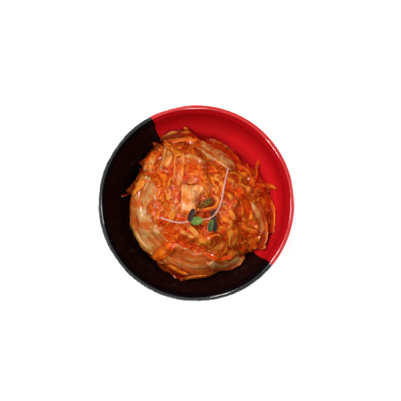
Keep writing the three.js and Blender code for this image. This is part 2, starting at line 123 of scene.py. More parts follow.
class NodeBook:
    """Builds one material's node tree."""

    def __init__(self, name: str) -> None:
        """Start an empty material of this name."""
        self.material = bpy.data.materials.new(name)
        self.material.use_nodes = True
        self.tree = self.material.node_tree
        self.tree.nodes.clear()

    def node(self, kind: str, settings: Values | None = None, values: Values | None = None,
             output: Any = 0) -> Shade:
        """Add one node of any type.

        Args:
            kind: The node's type, such as ShaderNodeMath.
            settings: The node's own settings, set before its sockets.
            values: Socket name or number to a value, or to a Shade to link.
            output: Name or number of the output wanted, or None for a node without one.

        Returns:
            That output.
        """
        made = self.tree.nodes.new(kind)
        for key, value in (settings or {}).items():
            setattr(made, key, value)
        for key, value in (values or {}).items():
            socket = made.inputs[key]
            if isinstance(value, Shade):
                self.tree.links.new(value.socket, socket)
            elif socket.type == "RGBA":
                socket.default_value = (*value, 1.0)
            else:
                socket.default_value = value
        return Shade(self, None if output is None else made.outputs[output])

    def mix(self, share: Any, first: Any, second: Any) -> Shade:
        """Mix two colours or Shades: the first where share is 0, and the second where it is 1."""
        settings = {"data_type": "RGBA", "blend_type": "MIX"}
        return self.node("ShaderNodeMix", settings, {0: share, 6: first, 7: second}, output=2)

    def held(self, name: str, output: str = "Fac") -> Shade:
        """Read a named value that the mesh holds at its points."""
        return self.node("ShaderNodeAttribute", {"attribute_name": name}, output=output)

    def place(self) -> Shade:
        """Return the object's own coordinates, in metres."""
        return self.node("ShaderNodeTexCoord", output="Object")

    def axis(self, where: Shade, name: str) -> Shade:
        """Return the X, Y or Z of a vector."""
        return self.node("ShaderNodeSeparateXYZ", None, {0: where}, output=name)

    def stretched(self, where: Shade, scale: tuple[float, float, float]) -> Shade:
        """Return a vector multiplied axis by axis."""
        return self.node("ShaderNodeVectorMath", {"operation": "MULTIPLY"}, {0: where, 1: scale})

    def noise(self, where: Shade, size: float, detail: float = 2.0, roughness: float = 0.5) -> Shade:
        """Add a noise texture.

        Args:
            where: Coordinates, in metres.
            size: Length of its largest waves, in metres.
            detail: Octaves.
            roughness: Share of each finer octave.

        Returns:
            The noise, around 0.5.
        """
        values = {"Vector": where, "Scale": 1 / size, "Detail": detail, "Roughness": roughness}
        return self.node("ShaderNodeTexNoise", None, values)

    def cells(self, where: Shade, size: float, feature: str = "F1") -> Shade:
        """Add a Voronoi texture of cells of one size, and return its distance."""
        values = {"Vector": where, "Scale": 1 / size}
        return self.node("ShaderNodeTexVoronoi", {"feature": feature}, values, output="Distance")

    def bump(self, height: Shade, depth: float, strength: float = 1.0, onto: Shade | None = None) -> Shade:
        """Add a Bump node.

        Args:
            height: The height, from 0 to 1.
            depth: Metres that a height of 1 stands for.
            strength: Share of the bump that shows.
            onto: A normal to bump further.

        Returns:
            The bumped normal.
        """
        values: Values = {"Height": height, "Distance": depth, "Strength": strength}
        if onto is not None:
            values["Normal"] = onto
        return self.node("ShaderNodeBump", None, values)

    def finished(self, values: Values) -> bpy.types.Material:
        """Add the Principled shader with its socket values, and the output, and return the material."""
        shader = self.node("ShaderNodeBsdfPrincipled", None, values)
        self.node("ShaderNodeOutputMaterial", None, {"Surface": shader}, output=None)
        return self.material


# ---------------------------------------------------------------------------- finishes


@dataclass(frozen=True)
class LacquerFinish:
    """Glossy lacquer, red on one side of a slanting line and black on the other."""

    red: Colour = srgb(194, 16, 24)
    black: Colour = srgb(30, 8, 8)
    black_cloud: Colour = srgb(48, 34, 26)
    across: tuple[float, float] = (0.773, 0.634)  # direction from black to red, seen from above
    line_offset: float = 10.7 * MM  # of the line from the middle, at the rim
    line_lean: float = 0.06  # how far the line leans to the black side for each metre of depth
    rim_height: float = 55 * MM
    black_rim: Colour = srgb(10, 14, 15)
    red_rim: Colour = srgb(206, 36, 38)
    # painted shade: darker colours for the sloping band inside the rim's flat top, against the light it
    # catches
    black_slope: Colour = srgb(12, 2, 5)
    red_slope: Colour = srgb(166, 8, 16)
    # painted light: a brighter red that the wall takes further down, against the shade deep in the bowl
    deep_red: Colour = srgb(226, 32, 38)
    rim_depth: float = 0.9 * MM
    slope_radii: tuple[float, float] = (52.4 * MM, 55.4 * MM)  # of the slope inside the rim's flat top
    edge_radius: float = 57.1 * MM  # of the painted highlight line along the outer edge
    rim_gloss: float = 0.16
    wall_gloss: float = 0.65

    def build(self) -> bpy.types.Material:
        """Return the lacquer's material."""
        book = NodeBook("bowl_lacquer")
        where = book.place()
        x, y, z = (book.axis(where, name) for name in "XYZ")
        wander = (book.noise(where, 9 * MM) - 0.5) * (0.5 * MM)
        depth = self.rim_height - z
        side = x * self.across[0] + y * self.across[1] + depth * self.line_lean + wander
        is_red = (side - self.line_offset).ramp(-0.12 * MM, 0.12 * MM)
        dust = book.cells(where, 2.6 * MM).ramp(0.13, 0.05) * book.noise(where, 5 * MM).ramp(0.52, 0.62)
        cloud = book.noise(where, 6 * MM, 4.0, 0.65)
        black = book.mix(cloud.ramp(0.5, 0.75) * 0.7, self.black, self.black_cloud)
        black = book.mix(dust * 0.12, black, srgb(120, 110, 100))
        red = book.mix(book.noise(where, 14 * MM, 3.0).ramp(0.35, 0.7) * 0.25, self.red, srgb(186, 12, 20))
        # Painted light: the red wall grows brighter with depth, against the shade deep in the bowl.
        red = book.mix(depth.ramp(6 * MM, 30 * MM) * 0.7, red, self.deep_red)
        wear = book.noise(book.stretched(where, (1.0, 1.0, 0.3)), 1.3 * MM, 4.0)
        spread = x * x + y * y
        inner, outer = self.slope_radii
        flat = spread.ramp((outer - 0.4 * MM) ** 2, (outer + 0.1 * MM) ** 2)
        rim = (self.rim_depth - depth).ramp(-1.0 * MM, 0.3 * MM) * flat
        slope = spread.ramp((inner - 0.8 * MM) ** 2, inner ** 2) - flat
        slope = slope * (4 * MM - depth).ramp(0.0, 0.5 * MM)
        # Painted highlight: a thin pale line along the rim's outer edge, dotted grey on the black and pale
        # pink on the red.
        line = (spread.ramp((self.edge_radius - 0.35 * MM) ** 2, self.edge_radius ** 2)
                * spread.ramp((self.edge_radius + 0.35 * MM) ** 2, self.edge_radius ** 2) * rim)
        # Painted shade: the slope inside the rim's flat top is darker than the wall below it.
        black = book.mix(slope, black, self.black_slope)
        black = book.mix(rim, black, self.black_rim)
        dots = book.noise(where, 0.8 * MM, 1.0).ramp(0.48, 0.6)
        black = book.mix(line * (dots * 0.85 + 0.1), black, srgb(190, 194, 198))
        red = book.mix(slope, red, self.red_slope)
        red = book.mix(rim, red, self.red_rim)
        red = book.mix(line * 0.3, red, srgb(244, 130, 124))
        rough = self.wall_gloss - rim * (self.wall_gloss - self.rim_gloss) + wear.ramp(0.45, 0.75) * 0.08
        return book.finished({
            "Base Color": book.mix(is_red, black, red),
            "Roughness": rough + dust * 0.15,
            "IOR": 1.1,
            "Coat Weight": rim,
            "Coat IOR": 2.2,
            "Coat Roughness": 0.12,
            "Normal": book.bump(book.noise(where, 3.5 * MM), 0.015 * MM),
        })


@dataclass(frozen=True)
class CabbageFinish:
    """Wet pickled cabbage, stained by chilli sauce, with its own grain along each cut piece."""

    name: str
    warm: Colour = srgb(222, 100, 16)
    pale: Colour = srgb(224, 140, 48)
    cream: Colour = srgb(232, 160, 76)
    # edge: yellow for veins and thin leaf edges, also the painted highlight on ridges and edges
    edge: Colour = srgb(240, 140, 34)
    sauce: Colour = srgb(212, 56, 6)
    # painted shade: the dark red laid deep in the crevices between pieces, where sauce also gathers
    deep: Colour = srgb(156, 16, 3)
    grooves: float = 0.2 * MM
    crinkle: float = 0.8 * MM
    veins: float = 0.25
    film: float = 1.0  # greatest share of the clear wet film
    haze: float = 0.05  # roughness of the film
    blotch: float = 0.35  # share of warm streaks in pale flesh
    depth: float = 1.4 * MM  # how far light spreads in the flesh

    def build(self) -> bpy.types.Material:
        """Return the cabbage's material."""
        book = NodeBook(self.name)
        where = book.place()
        grain = book.held("grain", "Vector")
        rib, rim, stain, tone, pool = (book.held(name) for name in ("rib", "edge", "sauce", "tone", "pool"))
        crest = book.held("crest")
        streak = book.noise(book.stretched(grain, (0.22, 1.0, 1.0)), 1.5 * MM, 3.0)
        flesh = book.mix(tone, self.warm, self.pale)
        flesh = book.mix(rib * 0.8, flesh, self.cream)
        cloud = book.noise(where, 9 * MM, 3.0, 0.6)
        flesh = book.mix((streak * 0.25 + cloud).ramp(0.56, 0.74) * self.blotch, flesh, self.warm)
        patches = book.noise(where, 5 * MM, 4.0, 0.6)
        # Hollows of the folds take more sauce: a real stain, which is also painted shade that reddens them.
        valley = (0.62 - crest).ramp(0.0, 0.5)
        soaked = (stain * 1.1 + patches * 1.1 + valley * 0.5 - 1.08).ramp(-0.35, 0.45)
        colour = book.mix(soaked * 0.9, flesh, self.sauce)
        # Paler yellow along each piece's edges: the thin edge's own tone, and partly a painted highlight.
        colour = book.mix(rim * (1.0 - soaked * 0.4) * 0.4, colour, self.edge)
        # Painted highlight: the ridge tops of the folds are lighter and yellower.
        colour = book.mix(crest.ramp(0.6, 0.95) * (1.0 - soaked * 0.4) * 0.5, colour, self.edge)
        # Painted shade: darker red deep in the crevices between the pieces, where sauce also gathers.
        colour = book.mix(pool.ramp(0.1, 0.85) * 0.8, colour, self.deep)
        powder = book.cells(where, 2.1 * MM).ramp(0.13, 0.06) * book.noise(where, 4 * MM).ramp(0.52, 0.62)
        colour = book.mix(powder * 0.35, colour, srgb(170, 30, 6))
        wrinkle = book.noise(book.stretched(grain, (0.75, 1.0, 1.0)), 1.5 * MM, 1.5, 0.5)
        blister = book.cells(where, 1.5 * MM, "SMOOTH_F1")
        lines = book.noise(book.stretched(grain, (0.1, 1.0, 1.0)), 1.1 * MM, 1.0)
        colour = book.mix(lines.ramp(0.52, 0.7) * self.veins, colour, self.edge)
        normal = book.bump(wrinkle - blister * 0.6, self.crinkle)
        normal = book.bump(lines, self.grooves, 1.0, normal)
        return book.finished({
            "Base Color": colour,
            "Roughness": 0.1 + book.noise(where, 2.2 * MM).ramp(0.5, 0.75) * 0.15,
            "IOR": 1.15,
            "Coat Weight": book.noise(where, 5 * MM, 2.0).ramp(0.3, 0.6) * self.film,
            "Coat IOR": 1.58,
            "Coat Roughness": self.haze,
            "Subsurface Weight": 0.6,
            "Subsurface Radius": (1.0, 0.34, 0.1),
            "Subsurface Scale": self.depth,
            "Normal": normal,
        })


@dataclass(frozen=True)
class GlazeFinish:
    """Wet chilli sauce and soft shreds that fill the hollows between the pieces."""

    light: Colour = srgb(220, 94, 16)
    colour: Colour = srgb(208, 58, 9)
    dark: Colour = srgb(150, 20, 4)
    skirt: Colour = srgb(206, 96, 24)  # round the foot of the heap

    def build(self) -> bpy.types.Material:
        """Return the sauce's material."""
        book = NodeBook("chilli_sauce")
        where = book.place()
        shade = book.mix(book.noise(where, 5 * MM, 3.0).ramp(0.38, 0.62), self.colour, self.light)
        shade = book.mix(book.noise(book.stretched(where, (1.0, 1.0, 0.4)), 2.4 * MM, 3.0).ramp(0.5, 0.72),
                         shade, self.dark)
        x, y = book.axis(where, "X"), book.axis(where, "Y")
        skirt = (x * x + y * y).ramp((26 * MM) ** 2, (38 * MM) ** 2)
        shade = book.mix(skirt * 0.7, shade, self.skirt)
        bits = book.noise(where, 1.5 * MM, 1.5, 0.5)
        drops = book.cells(where, 1.3 * MM, "SMOOTH_F1")
        return book.finished({
            "Base Color": shade,
            "Roughness": 0.1 + bits.ramp(0.5, 0.75) * 0.15,
            "IOR": 1.15,
            "Coat Weight": book.noise(where, 5 * MM, 2.0).ramp(0.3, 0.6) * 0.75,
            "Coat IOR": 1.45,
            "Coat Roughness": 0.08,
            "Subsurface Weight": 0.6,
            "Subsurface Radius": (1.0, 0.25, 0.08),
            "Subsurface Scale": 1.8 * MM,
            "Normal": book.bump(bits - drops * 0.7, 1.1 * MM),
        })


@dataclass(frozen=True)
class FlakeFinish:
    """Small wet bits, such as chilli flakes or seeds."""

    name: str
    light: Colour
    dark: Colour

    def build(self) -> bpy.types.Material:
        """Return the bits' material."""
        book = NodeBook(self.name)
        where = book.place()
        shade = book.mix(book.noise(where, 1.6 * MM).ramp(0.35, 0.65), self.dark, self.light)
        return book.finished({
            "Base Color": shade,
            "Roughness": 0.2 + book.noise(where, 0.7 * MM).ramp(0.3, 0.7) * 0.15,
            "IOR": 1.15,
            "Normal": book.bump(book.noise(where, 0.5 * MM), 0.08 * MM),
        })


@dataclass(frozen=True)
class SproutFinish:
    """A sprout's pink stem or seed leaf, with a paler middle vein."""

    name: str
    root: Colour
    tip: Colour
    vein: Colour
    veined: float = 0.5
    shine: float = 1.42  # refractive index

    def build(self) -> bpy.types.Material:
        """Return the sprout's material."""
        book = NodeBook(self.name)
        where = book.place()
        along = book.held("along")
        middle = book.held("middle")
        mottle = book.noise(where, 1.4 * MM, 3.0)
        shade = book.mix(along, self.root, self.tip)
        shade = book.mix(mottle.ramp(0.4, 0.7) * 0.5, shade, self.tip)
        shade = book.mix(middle * self.veined, shade, self.vein)
        return book.finished({
            "Base Color": shade,
            "Roughness": 0.3 + mottle.ramp(0.4, 0.7) * 0.15,
            "IOR": self.shine,
            "Subsurface Weight": 0.3,
            "Subsurface Radius": (0.6, 0.5, 0.2),
            "Subsurface Scale": 0.6 * MM,
            "Normal": book.bump(book.noise(where, 1.2 * MM, 2.0), 0.16 * MM),
        })


@dataclass(frozen=True)
class FloorFinish:
    """A plain pale tabletop."""

    colour: Colour = (0.9, 0.9, 0.9)
    glow: float = 0.6

    def build(self) -> bpy.types.Material:
        """Return the tabletop's material."""
        book = NodeBook("pale_table")
        cloud = book.noise(book.place(), 300 * MM)
        shade = book.mix(cloud.ramp(0.3, 0.7) * 0.3, self.colour, (0.88, 0.88, 0.88))
        return book.finished({
            "Base Color": shade,
            "Roughness": 0.6,
            "Emission Color": self.colour,
            "Emission Strength": self.glow,
        })


# ---------------------------------------------------------------------------- mesh tools


def mesh_object(name: str, points: np.ndarray, faces: np.ndarray, held: dict[str, np.ndarray],
                material: bpy.types.Material) -> bpy.types.Object:
    """Make a smooth mesh object.

    Args:
        name: The object's name.
        points: Its points, in metres.
        faces: Rows of four point numbers; a triangle repeats its last one.
        held: Values kept at the points: one number each, or three.
        material: Its material.

    Returns:
        The object, linked into the scene.
    """
    mesh = bpy.data.meshes.new(name)
    rows = [row[:3] if row[2] == row[3] else row for row in faces.tolist()]
    mesh.from_pydata(points.tolist(), [], rows)
    for key, values in held.items():
        kind, slot = ("FLOAT", "value") if values.ndim == 1 else ("FLOAT_VECTOR", "vector")
        layer = mesh.attributes.new(key, kind, "POINT")
        layer.data.foreach_set(slot, np.ascontiguousarray(values, np.float32).ravel())
    mesh.polygons.foreach_set("use_smooth", [True] * len(mesh.polygons))
    mesh.materials.append(material)
    made = bpy.data.objects.new(name, mesh)
    bpy.context.scene.collection.objects.link(made)
    return made


def spline(knots: Sequence[np.ndarray], share: np.ndarray) -> np.ndarray:
    """Return places at a share of the way from the second to the third of four knots, on a smooth curve."""
    a, b, c, d = knots
    return b + 0.5 * share * (c - a + share * (2 * a - 5 * b + 4 * c - d + share * (3 * (b - c) + d - a)))


def smooth_line(path: Points, count: int) -> np.ndarray:
    """Sample a smooth curve through a few points at equal spacing.

    Args:
        path: The points, of two or three coordinates.
        count: How many samples.

    Returns:
        An array of count rows.
    """
    knots = np.array(path, float)
    knots = np.vstack([2 * knots[0] - knots[1], knots, 2 * knots[-1] - knots[-2]])
    share = np.linspace(0, 1, SPLINE_STEPS, endpoint=False)[:, None]
    parts = [spline(four, share) for four in zip(knots, knots[1:], knots[2:], knots[3:])]
    line = np.vstack([*parts, knots[-2][None]])
    walked = np.concatenate([[0], np.cumsum(np.linalg.norm(np.diff(line, axis=0), axis=1))])
    wanted = np.linspace(0, walked[-1], count)
    return np.stack([np.interp(wanted, walked, line[:, k]) for k in range(line.shape[1])], axis=1)


def grid_faces(rows: int, columns: int, first: int = 0, flipped: bool = False) -> np.ndarray:
    """Return the quads of a grid of points.

    Args:
        rows: Points along the first direction.
        columns: Points along the second direction.
        first: Number of the grid's first point.
        flipped: Whether the quads face the other way.

    Returns:
        Rows of four point numbers.
    """
    at = first + np.arange(rows * columns).reshape(rows, columns)
    quads = [at[:-1, :-1], at[1:, :-1], at[1:, 1:], at[:-1, 1:]]
    return np.stack(quads[::-1] if flipped else quads, axis=-1).reshape(-1, 4)


def shell_faces(rows: int, columns: int, first: int = 0) -> np.ndarray:
    """Return the quads of a thin closed shell: two grids of points, and the wall between their edges.

    Args:
        rows: Points along the first direction.
        columns: Points along the second direction.
        first: Number of the upper grid's first point; the lower grid's points follow.

    Returns:
        Rows of four point numbers.
    """
    under = rows * columns
    at = first + np.arange(under).reshape(rows, columns)
    edge = np.concatenate([at[:-1, 0], at[-1, :-1], at[:0:-1, -1], at[0, :0:-1]])
    following = np.roll(edge, -1)
    wall = np.stack([edge, edge + under, following + under, following], axis=-1)
    return np.vstack([
        grid_faces(rows, columns, first),
        grid_faces(rows, columns, first + under, flipped=True),
        wall,
    ])


def ring_faces(at: np.ndarray) -> np.ndarray:
    """Return the quads between rings of points, which are the rows of point numbers, inner ring first."""
    turned = np.roll(at, -1, axis=1)
    return np.stack([at[:-1], at[1:], turned[1:], turned[:-1]], axis=-1).reshape(-1, 4)


def fan_faces(middle: int, ring: np.ndarray, flipped: bool = False) -> np.ndarray:
    """Return the triangles from a middle point to a ring of points, all given by their numbers."""
    following = np.roll(ring, -1)
    first, second = (following, ring) if flipped else (ring, following)
    return np.stack([np.full_like(ring, middle), first, second, second], axis=-1)


def surface_normals(points: np.ndarray) -> np.ndarray:
    """Return the unit normals of a grid of points, of shape rows, columns, 3."""
    normal = np.cross(np.gradient(points, axis=0), np.gradient(points, axis=1))
    return normal / np.maximum(np.linalg.norm(normal, axis=-1, keepdims=True), TINY)


def blurred(heights: np.ndarray, passes: int, border: str = "edge") -> np.ndarray:
    """Blur a grid of heights by repeated averaging.

    Args:
        heights: The grid.
        passes: How often each height is averaged with its neighbours.
        border: What lies past the grid: edge repeats its border, and wrap goes on at the other side.

    Returns:
        The blurred grid.
    """
    soft = heights
    for _ in range(2 * passes):
        wide = np.pad(soft, ((1, 1), (0, 0)), mode=border)
        soft = ((wide[:-2] + 2 * soft + wide[2:]) / 4).T
    return soft


def widened(heights: np.ndarray, cells: int, pick: Callable[..., np.ndarray]) -> np.ndarray:
    """Return a grid where each height is picked, by a function such as np.max, from the cells around it."""
    for axis in (0, 1):
        heights = pick([np.roll(heights, k, axis=axis) for k in range(-cells, cells + 1)], axis=0)
    return heights


class Grain:
    """Repeatable smooth noise over a plane."""

    def __init__(self, seed: int, size: int = 64) -> None:
        """Draw a square table of random values."""
        self.table = np.random.default_rng(seed).random((size, size)) * 2 - 1
        self.size = size

    def at(self, x: np.ndarray, y: np.ndarray) -> np.ndarray:
        """Return noise from -1 to 1 at places a unit or more apart."""
        column, row = np.floor(x).astype(int), np.floor(y).astype(int)
        fx, fy = x - column, y - row
        fx, fy = fx * fx * (3 - 2 * fx), fy * fy * (3 - 2 * fy)

        def pick(right: int, up: int) -> np.ndarray:
            """Return the table's values some steps from each place."""
            return self.table[(column + right) % self.size, (row + up) % self.size]

        near = pick(0, 0) * (1 - fx) + pick(1, 0) * fx
        far = pick(0, 1) * (1 - fx) + pick(1, 1) * fx
        return near * (1 - fy) + far * fy


# ---------------------------------------------------------------------------- bowl


@dataclass
class Bowl:
    """The bowl, turned from one profile. Sizes are in metres."""

    lip_radius: float
    height: float
    lip_flat: float = 1.6 * MM
    bevel_width: float = 2.7 * MM
    bevel_depth: float = 2.6 * MM
    mouth_radius: float = 52.4 * MM
    mouth_drop: float = 3.2 * MM
    shoulder_radius: float = 56.6 * MM
    shoulder_drop: float = 4.4 * MM
    floor_height: float = 9 * MM
    belly_height: float = 1.5 * MM
    roundness: float = 2.3
    foot_radius: float = 27.5 * MM
    foot_join: float = 28.6 * MM
    foot_width: float = 3.4 * MM
    recess_height: float = 4.2 * MM
    recess_slant: float = 0.7 * MM
    segments: int = 192
    outer_steps: int = 30
    inner_steps: int = 60
    inner_crowding: float = 1.2  # above 1, the inner wall's points crowd at the mouth

    def wall(self, mouth: float, top: float, lowest: float, turns: np.ndarray) -> Corners:
        """Return part of a superellipse wall as corners without rounding."""
        angles = turns * math.pi / 2
        power = 2 / self.roundness
        radii = mouth * np.cos(angles) ** power
        heights = top - (top - lowest) * np.sin(angles) ** power
        return [(float(r), float(h), 0.0) for r, h in zip(radii, heights)]

    def corners(self) -> Corners:
        """List the profile's corners, from the middle below to the middle inside.

        Returns:
            Each corner's radius, height and rounding.
        """
        foot_turn = math.acos((self.foot_join / self.shoulder_radius) ** (self.roundness / 2)) / (math.pi / 2)
        outer = self.wall(self.shoulder_radius, self.height - self.shoulder_drop, self.belly_height,
                          np.linspace(foot_turn, 0, self.outer_steps))
        inner = self.wall(self.mouth_radius, self.height - self.mouth_drop, self.floor_height,
                          np.linspace(0, 1, self.inner_steps) ** self.inner_crowding)
        flat_inside = self.lip_radius - 0.5 * MM - self.lip_flat
        foot_inside = self.foot_radius - self.foot_width
        return [
            (0.0, self.recess_height, 0.0),
            (foot_inside - self.recess_slant, self.recess_height, 0.8 * MM),
            (foot_inside, 0.0, 0.4 * MM),
            (self.foot_radius, 0.0, 0.6 * MM),
            *outer[:-1],
            (self.shoulder_radius, self.height - self.shoulder_drop, 0.5 * MM),
            (self.lip_radius, self.height - self.bevel_depth, 0.5 * MM),
            (self.lip_radius, self.height, 0.55 * MM),
            (flat_inside, self.height, 0.35 * MM),
            (flat_inside - self.bevel_width, self.height - self.bevel_depth, 0.5 * MM),
            *inner[1:-1],
            (0.0, self.floor_height, 0.0),
        ]

    def profile(self, steps: int = 5) -> np.ndarray:
        """Return the profile with its corners rounded.

        Args:
            steps: Points in each rounded corner.

        Returns:
            Rows of radius and height.
        """
        corners = self.corners()
        line = [corners[0][:2]]
        for before, corner, after in zip(corners, corners[1:], corners[2:]):
            middle = np.array(corner[:2])
            if not corner[2]:
                line.append(tuple(middle))
                continue
            ends = []
            for other in (before, after):
                way = np.array(other[:2]) - middle
                ends.append(middle + way * min(0.45, corner[2] / np.linalg.norm(way)))
            for share in np.linspace(0, 1, steps):
                curve = ends[0] * (1 - share) ** 2 + 2 * middle * share * (1 - share) + ends[1] * share ** 2
                line.append(tuple(curve))
        line.append(corners[-1][:2])
        return np.array(line)

    def build(self) -> bpy.types.Object:
        """Turn the profile into the bowl and dress it."""
        line = self.profile()
        angles = np.linspace(0, 2 * math.pi, self.segments, endpoint=False)
        rings = line[1:-1]
        x = rings[:, None, 0] * np.cos(angles)
        y = rings[:, None, 0] * np.sin(angles)
        z = np.broadcast_to(rings[:, None, 1], x.shape)
        middles = [[0, 0, line[0, 1]], [0, 0, line[-1, 1]]]
        points = np.vstack([np.stack([x, y, z], axis=-1).reshape(-1, 3), middles])
        at = np.arange(x.size).reshape(x.shape)
        quads = np.roll(ring_faces(at)[:, ::-1], 1, axis=1)
        low = fan_faces(x.size, at[0], flipped=True)
        high = fan_faces(x.size + 1, at[-1])
        made = mesh_object("bowl_shell", points, np.vstack([quads, low, high]), {}, LacquerFinish().build())
        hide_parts("bowl")
        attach(made, "root")
        return made


# ---------------------------------------------------------------------------- the heap's form


@dataclass
class HeapForm:
    """The heap's smooth form, in millimetres: a broad top, steep flanks and a skirt on the bowl's wall."""

    centre: tuple[float, float] = (2.5, -1.5)
    crown: float = 60.0
    edge: float = 33.0
    fall: float = 2.4
    radii: tuple[float, ...] = (46, 42.5, 37.5, 42, 47, 43.5, 44, 44.5, 44, 45.5, 41, 44.5)
    mouth_radius: float = 52.4
    mouth_height: float = 51.8
    floor_height: float = 9.0
    roundness: float = 2.3
    bed: float = 1.6

    def outline(self, angle: np.ndarray) -> np.ndarray:
        """Return the outline's radius round the heap's centre at each angle."""
        radii = np.array(self.radii)
        place = np.mod(angle / (2 * math.pi), 1) * len(radii)
        whole = np.floor(place).astype(int)
        return spline([radii[(whole + k) % len(radii)] for k in (-1, 0, 1, 2)], place - whole)

    def wall(self, radius: np.ndarray) -> np.ndarray:
        """Return the height of the bowl's inside at a distance from its axis."""
        share = np.clip(radius / self.mouth_radius, 0, 1) ** self.roundness
        drop = (1 - share) ** (1 / self.roundness)
        return self.mouth_height - (self.mouth_height - self.floor_height) * drop

    def share(self, x: np.ndarray, y: np.ndarray) -> np.ndarray:
        """Return the distance from the heap's centre as a share of the outline."""
        dx, dy = x - self.centre[0], y - self.centre[1]
        return np.hypot(dx, dy) / self.outline(np.arctan2(dy, dx))

    def height(self, x: np.ndarray, y: np.ndarray) -> np.ndarray:
        """Return the form's height."""
        slope = self.crown - (self.crown - self.edge) * self.share(x, y) ** self.fall
        return np.maximum(slope, self.wall(np.hypot(x, y)) + self.bed)


class Pile:
    """The height of whatever lies highest so far, on a square grid seen from above, in millimetres."""

    def __init__(self, form: HeapForm, depth: float, reach: float = 57.0, pitch: float = 0.6) -> None:
        """Start from a core that lies a depth under the form.

        Args:
            form: The heap's form.
            depth: How far the core's top lies under it.
            reach: Half the grid's side.
            pitch: Distance between its points.
        """
        self.reach, self.pitch = reach, pitch
        self.count = int(round(2 * reach / pitch)) + 1
        axis = np.linspace(-reach, reach, self.count)
        self.x, self.y = np.meshgrid(axis, axis, indexing="ij")
        wall = form.wall(np.hypot(self.x, self.y))
        self.heights = np.maximum(form.height(self.x, self.y) - depth, wall + WALL_GAP)

    def spread(self, cells: int) -> np.ndarray:
        """Return the heights with each peak widened by some cells each way."""
        return widened(self.heights, cells, np.max)

    def softened(self, heights: np.ndarray, passes: int) -> np.ndarray:
        """Return a grid's heights blurred by repeated averaging of neighbours."""
        return blurred(heights, passes, "wrap")

    def closed(self, cells: int) -> np.ndarray:
        """Return the heights with hollows narrower than twice some cells filled."""
        return widened(self.spread(cells), cells, np.min)

    def sample(self, heights: np.ndarray, x: np.ndarray, y: np.ndarray) -> np.ndarray:
        """Return a grid's heights at places between its points."""
        column = np.clip((x + self.reach) / self.pitch, 0, self.count - 1.001)
        row = np.clip((y + self.reach) / self.pitch, 0, self.count - 1.001)
        i, j = column.astype(int), row.astype(int)
        f, g = column - i, row - j
        near = heights[i, j] * (1 - f) + heights[i + 1, j] * f
        far = heights[i, j + 1] * (1 - f) + heights[i + 1, j + 1] * f
        return near * (1 - g) + far * g

    def lay(self, points: np.ndarray) -> None:
        """Raise the heights to points that have been laid."""
        flat = points.reshape(-1, 3)
        column = np.clip((flat[:, 0] + self.reach) / self.pitch, 0, self.count - 2).astype(int)
        row = np.clip((flat[:, 1] + self.reach) / self.pitch, 0, self.count - 2).astype(int)
        for i in (0, 1):
            for j in (0, 1):
                np.maximum.at(self.heights, (column + i, row + j), flat[:, 2])


# ---------------------------------------------------------------------------- cut pieces


@dataclass(frozen=True)
class CutStyle:
    """How one kind of cut piece is shaped, in millimetres."""

    thickness: float
    edge: float  # share of the thickness left at the edge
    taper: float  # share of the width left at the ends
    blunt: float  # squareness of the ends, from 2, round
    ragged: float  # unevenness of the long edges, as a share of the width
    tear: float  # how far the ends are torn in and out
    ruffle: float  # height of the waves along the edges
    crumple: float  # height of the folds all over
    droop: float  # how far the edges sink
    drape: int  # passes of softening of what it lies on
    bridge: int = 0  # cells by which the peaks under it are widened, so that it spans the hollows
    stretch: float = 1.0  # length of the folds as a share of the usual one
    fine: float = 0.6  # share of the finest unevenness
    soak: float = 0.1  # how much more sauce gathers along the edges
    midrib: float = 0.25  # share of the half width over which the pale midrib spreads
    fade: float = 0.6  # how much of the midrib fades along the piece


class CutKind(Enum):
    """The kinds of cut piece in the heap."""

    LEAF = CutStyle(0.7, 0.3, 0.4, 3.0, 0.38, 3.0, 0.5, 1.3, 0.9, 6)
    STALK = CutStyle(0.9, 0.4, 0.45, 2.8, 0.25, 2.4, 0.3, 0.9, 1.4, 20, bridge=2, stretch=1.2, fine=0.2,
                     soak=0.4, midrib=0.6, fade=0.2)
    RIB = CutStyle(1.6, 0.35, 0.8, 5.0, 0.16, 1.2, 0.1, 0.5, 0.7, 10, soak=0.3)
    SHRED = CutStyle(1.2, 0.4, 0.3, 3.0, 0.3, 1.0, 0.3, 0.7, 0.2, 4)
    FRILL = CutStyle(0.55, 0.4, 0.35, 2.5, 0.45, 2.4, 1.2, 1.4, 0.3, 3)
    HERB = CutStyle(0.5, 0.4, 0.3, 2.0, 0.6, 1.2, 0.4, 0.6, 0.0, 3)


class Tone(Enum):
    """Base tones of a piece, from 0, warm orange, to 1, pale."""

    ORANGE = 0.05
    AMBER = 0.35
    YELLOW = 0.6
    PALE = 1.0


LEAF, STALK, RIB, SHRED, FRILL, HERB = CutKind
ORANGE, AMBER, YELLOW, PALE = Tone
TONE_SHARES = (0.5, 0.36, 0.12, 0.02)  # share of the fillers in each tone
ROWS, COLUMNS = (7, 90), (4, 50)  # least and greatest number of points along and across a piece


@dataclass(frozen=True)
class Cut:
    """One cut piece laid on the heap, in millimetres."""

    kind: CutKind
    path: Points
    width: float
    tone: Tone = AMBER
    sauce: float = 0.4
    lift: tuple[float, float, float] = (0.0, 0.0, 0.0)
    curl: tuple[float, float] = (0.3, 0.3)  # turn of the right and left edges upward, in radians
    folds: float = 0.45  # steepness of the pleats along it, in radians
    pleat: float = 3.6  # width of a pleat
    crumple: float = 1.0  # share of its kind's usual folds
    tilt: float = 0.0  # height of the left edge over the middle, and depth of the right one under it
    wedge: float = 0.0  # how much wider it starts than it ends, as a share of the width


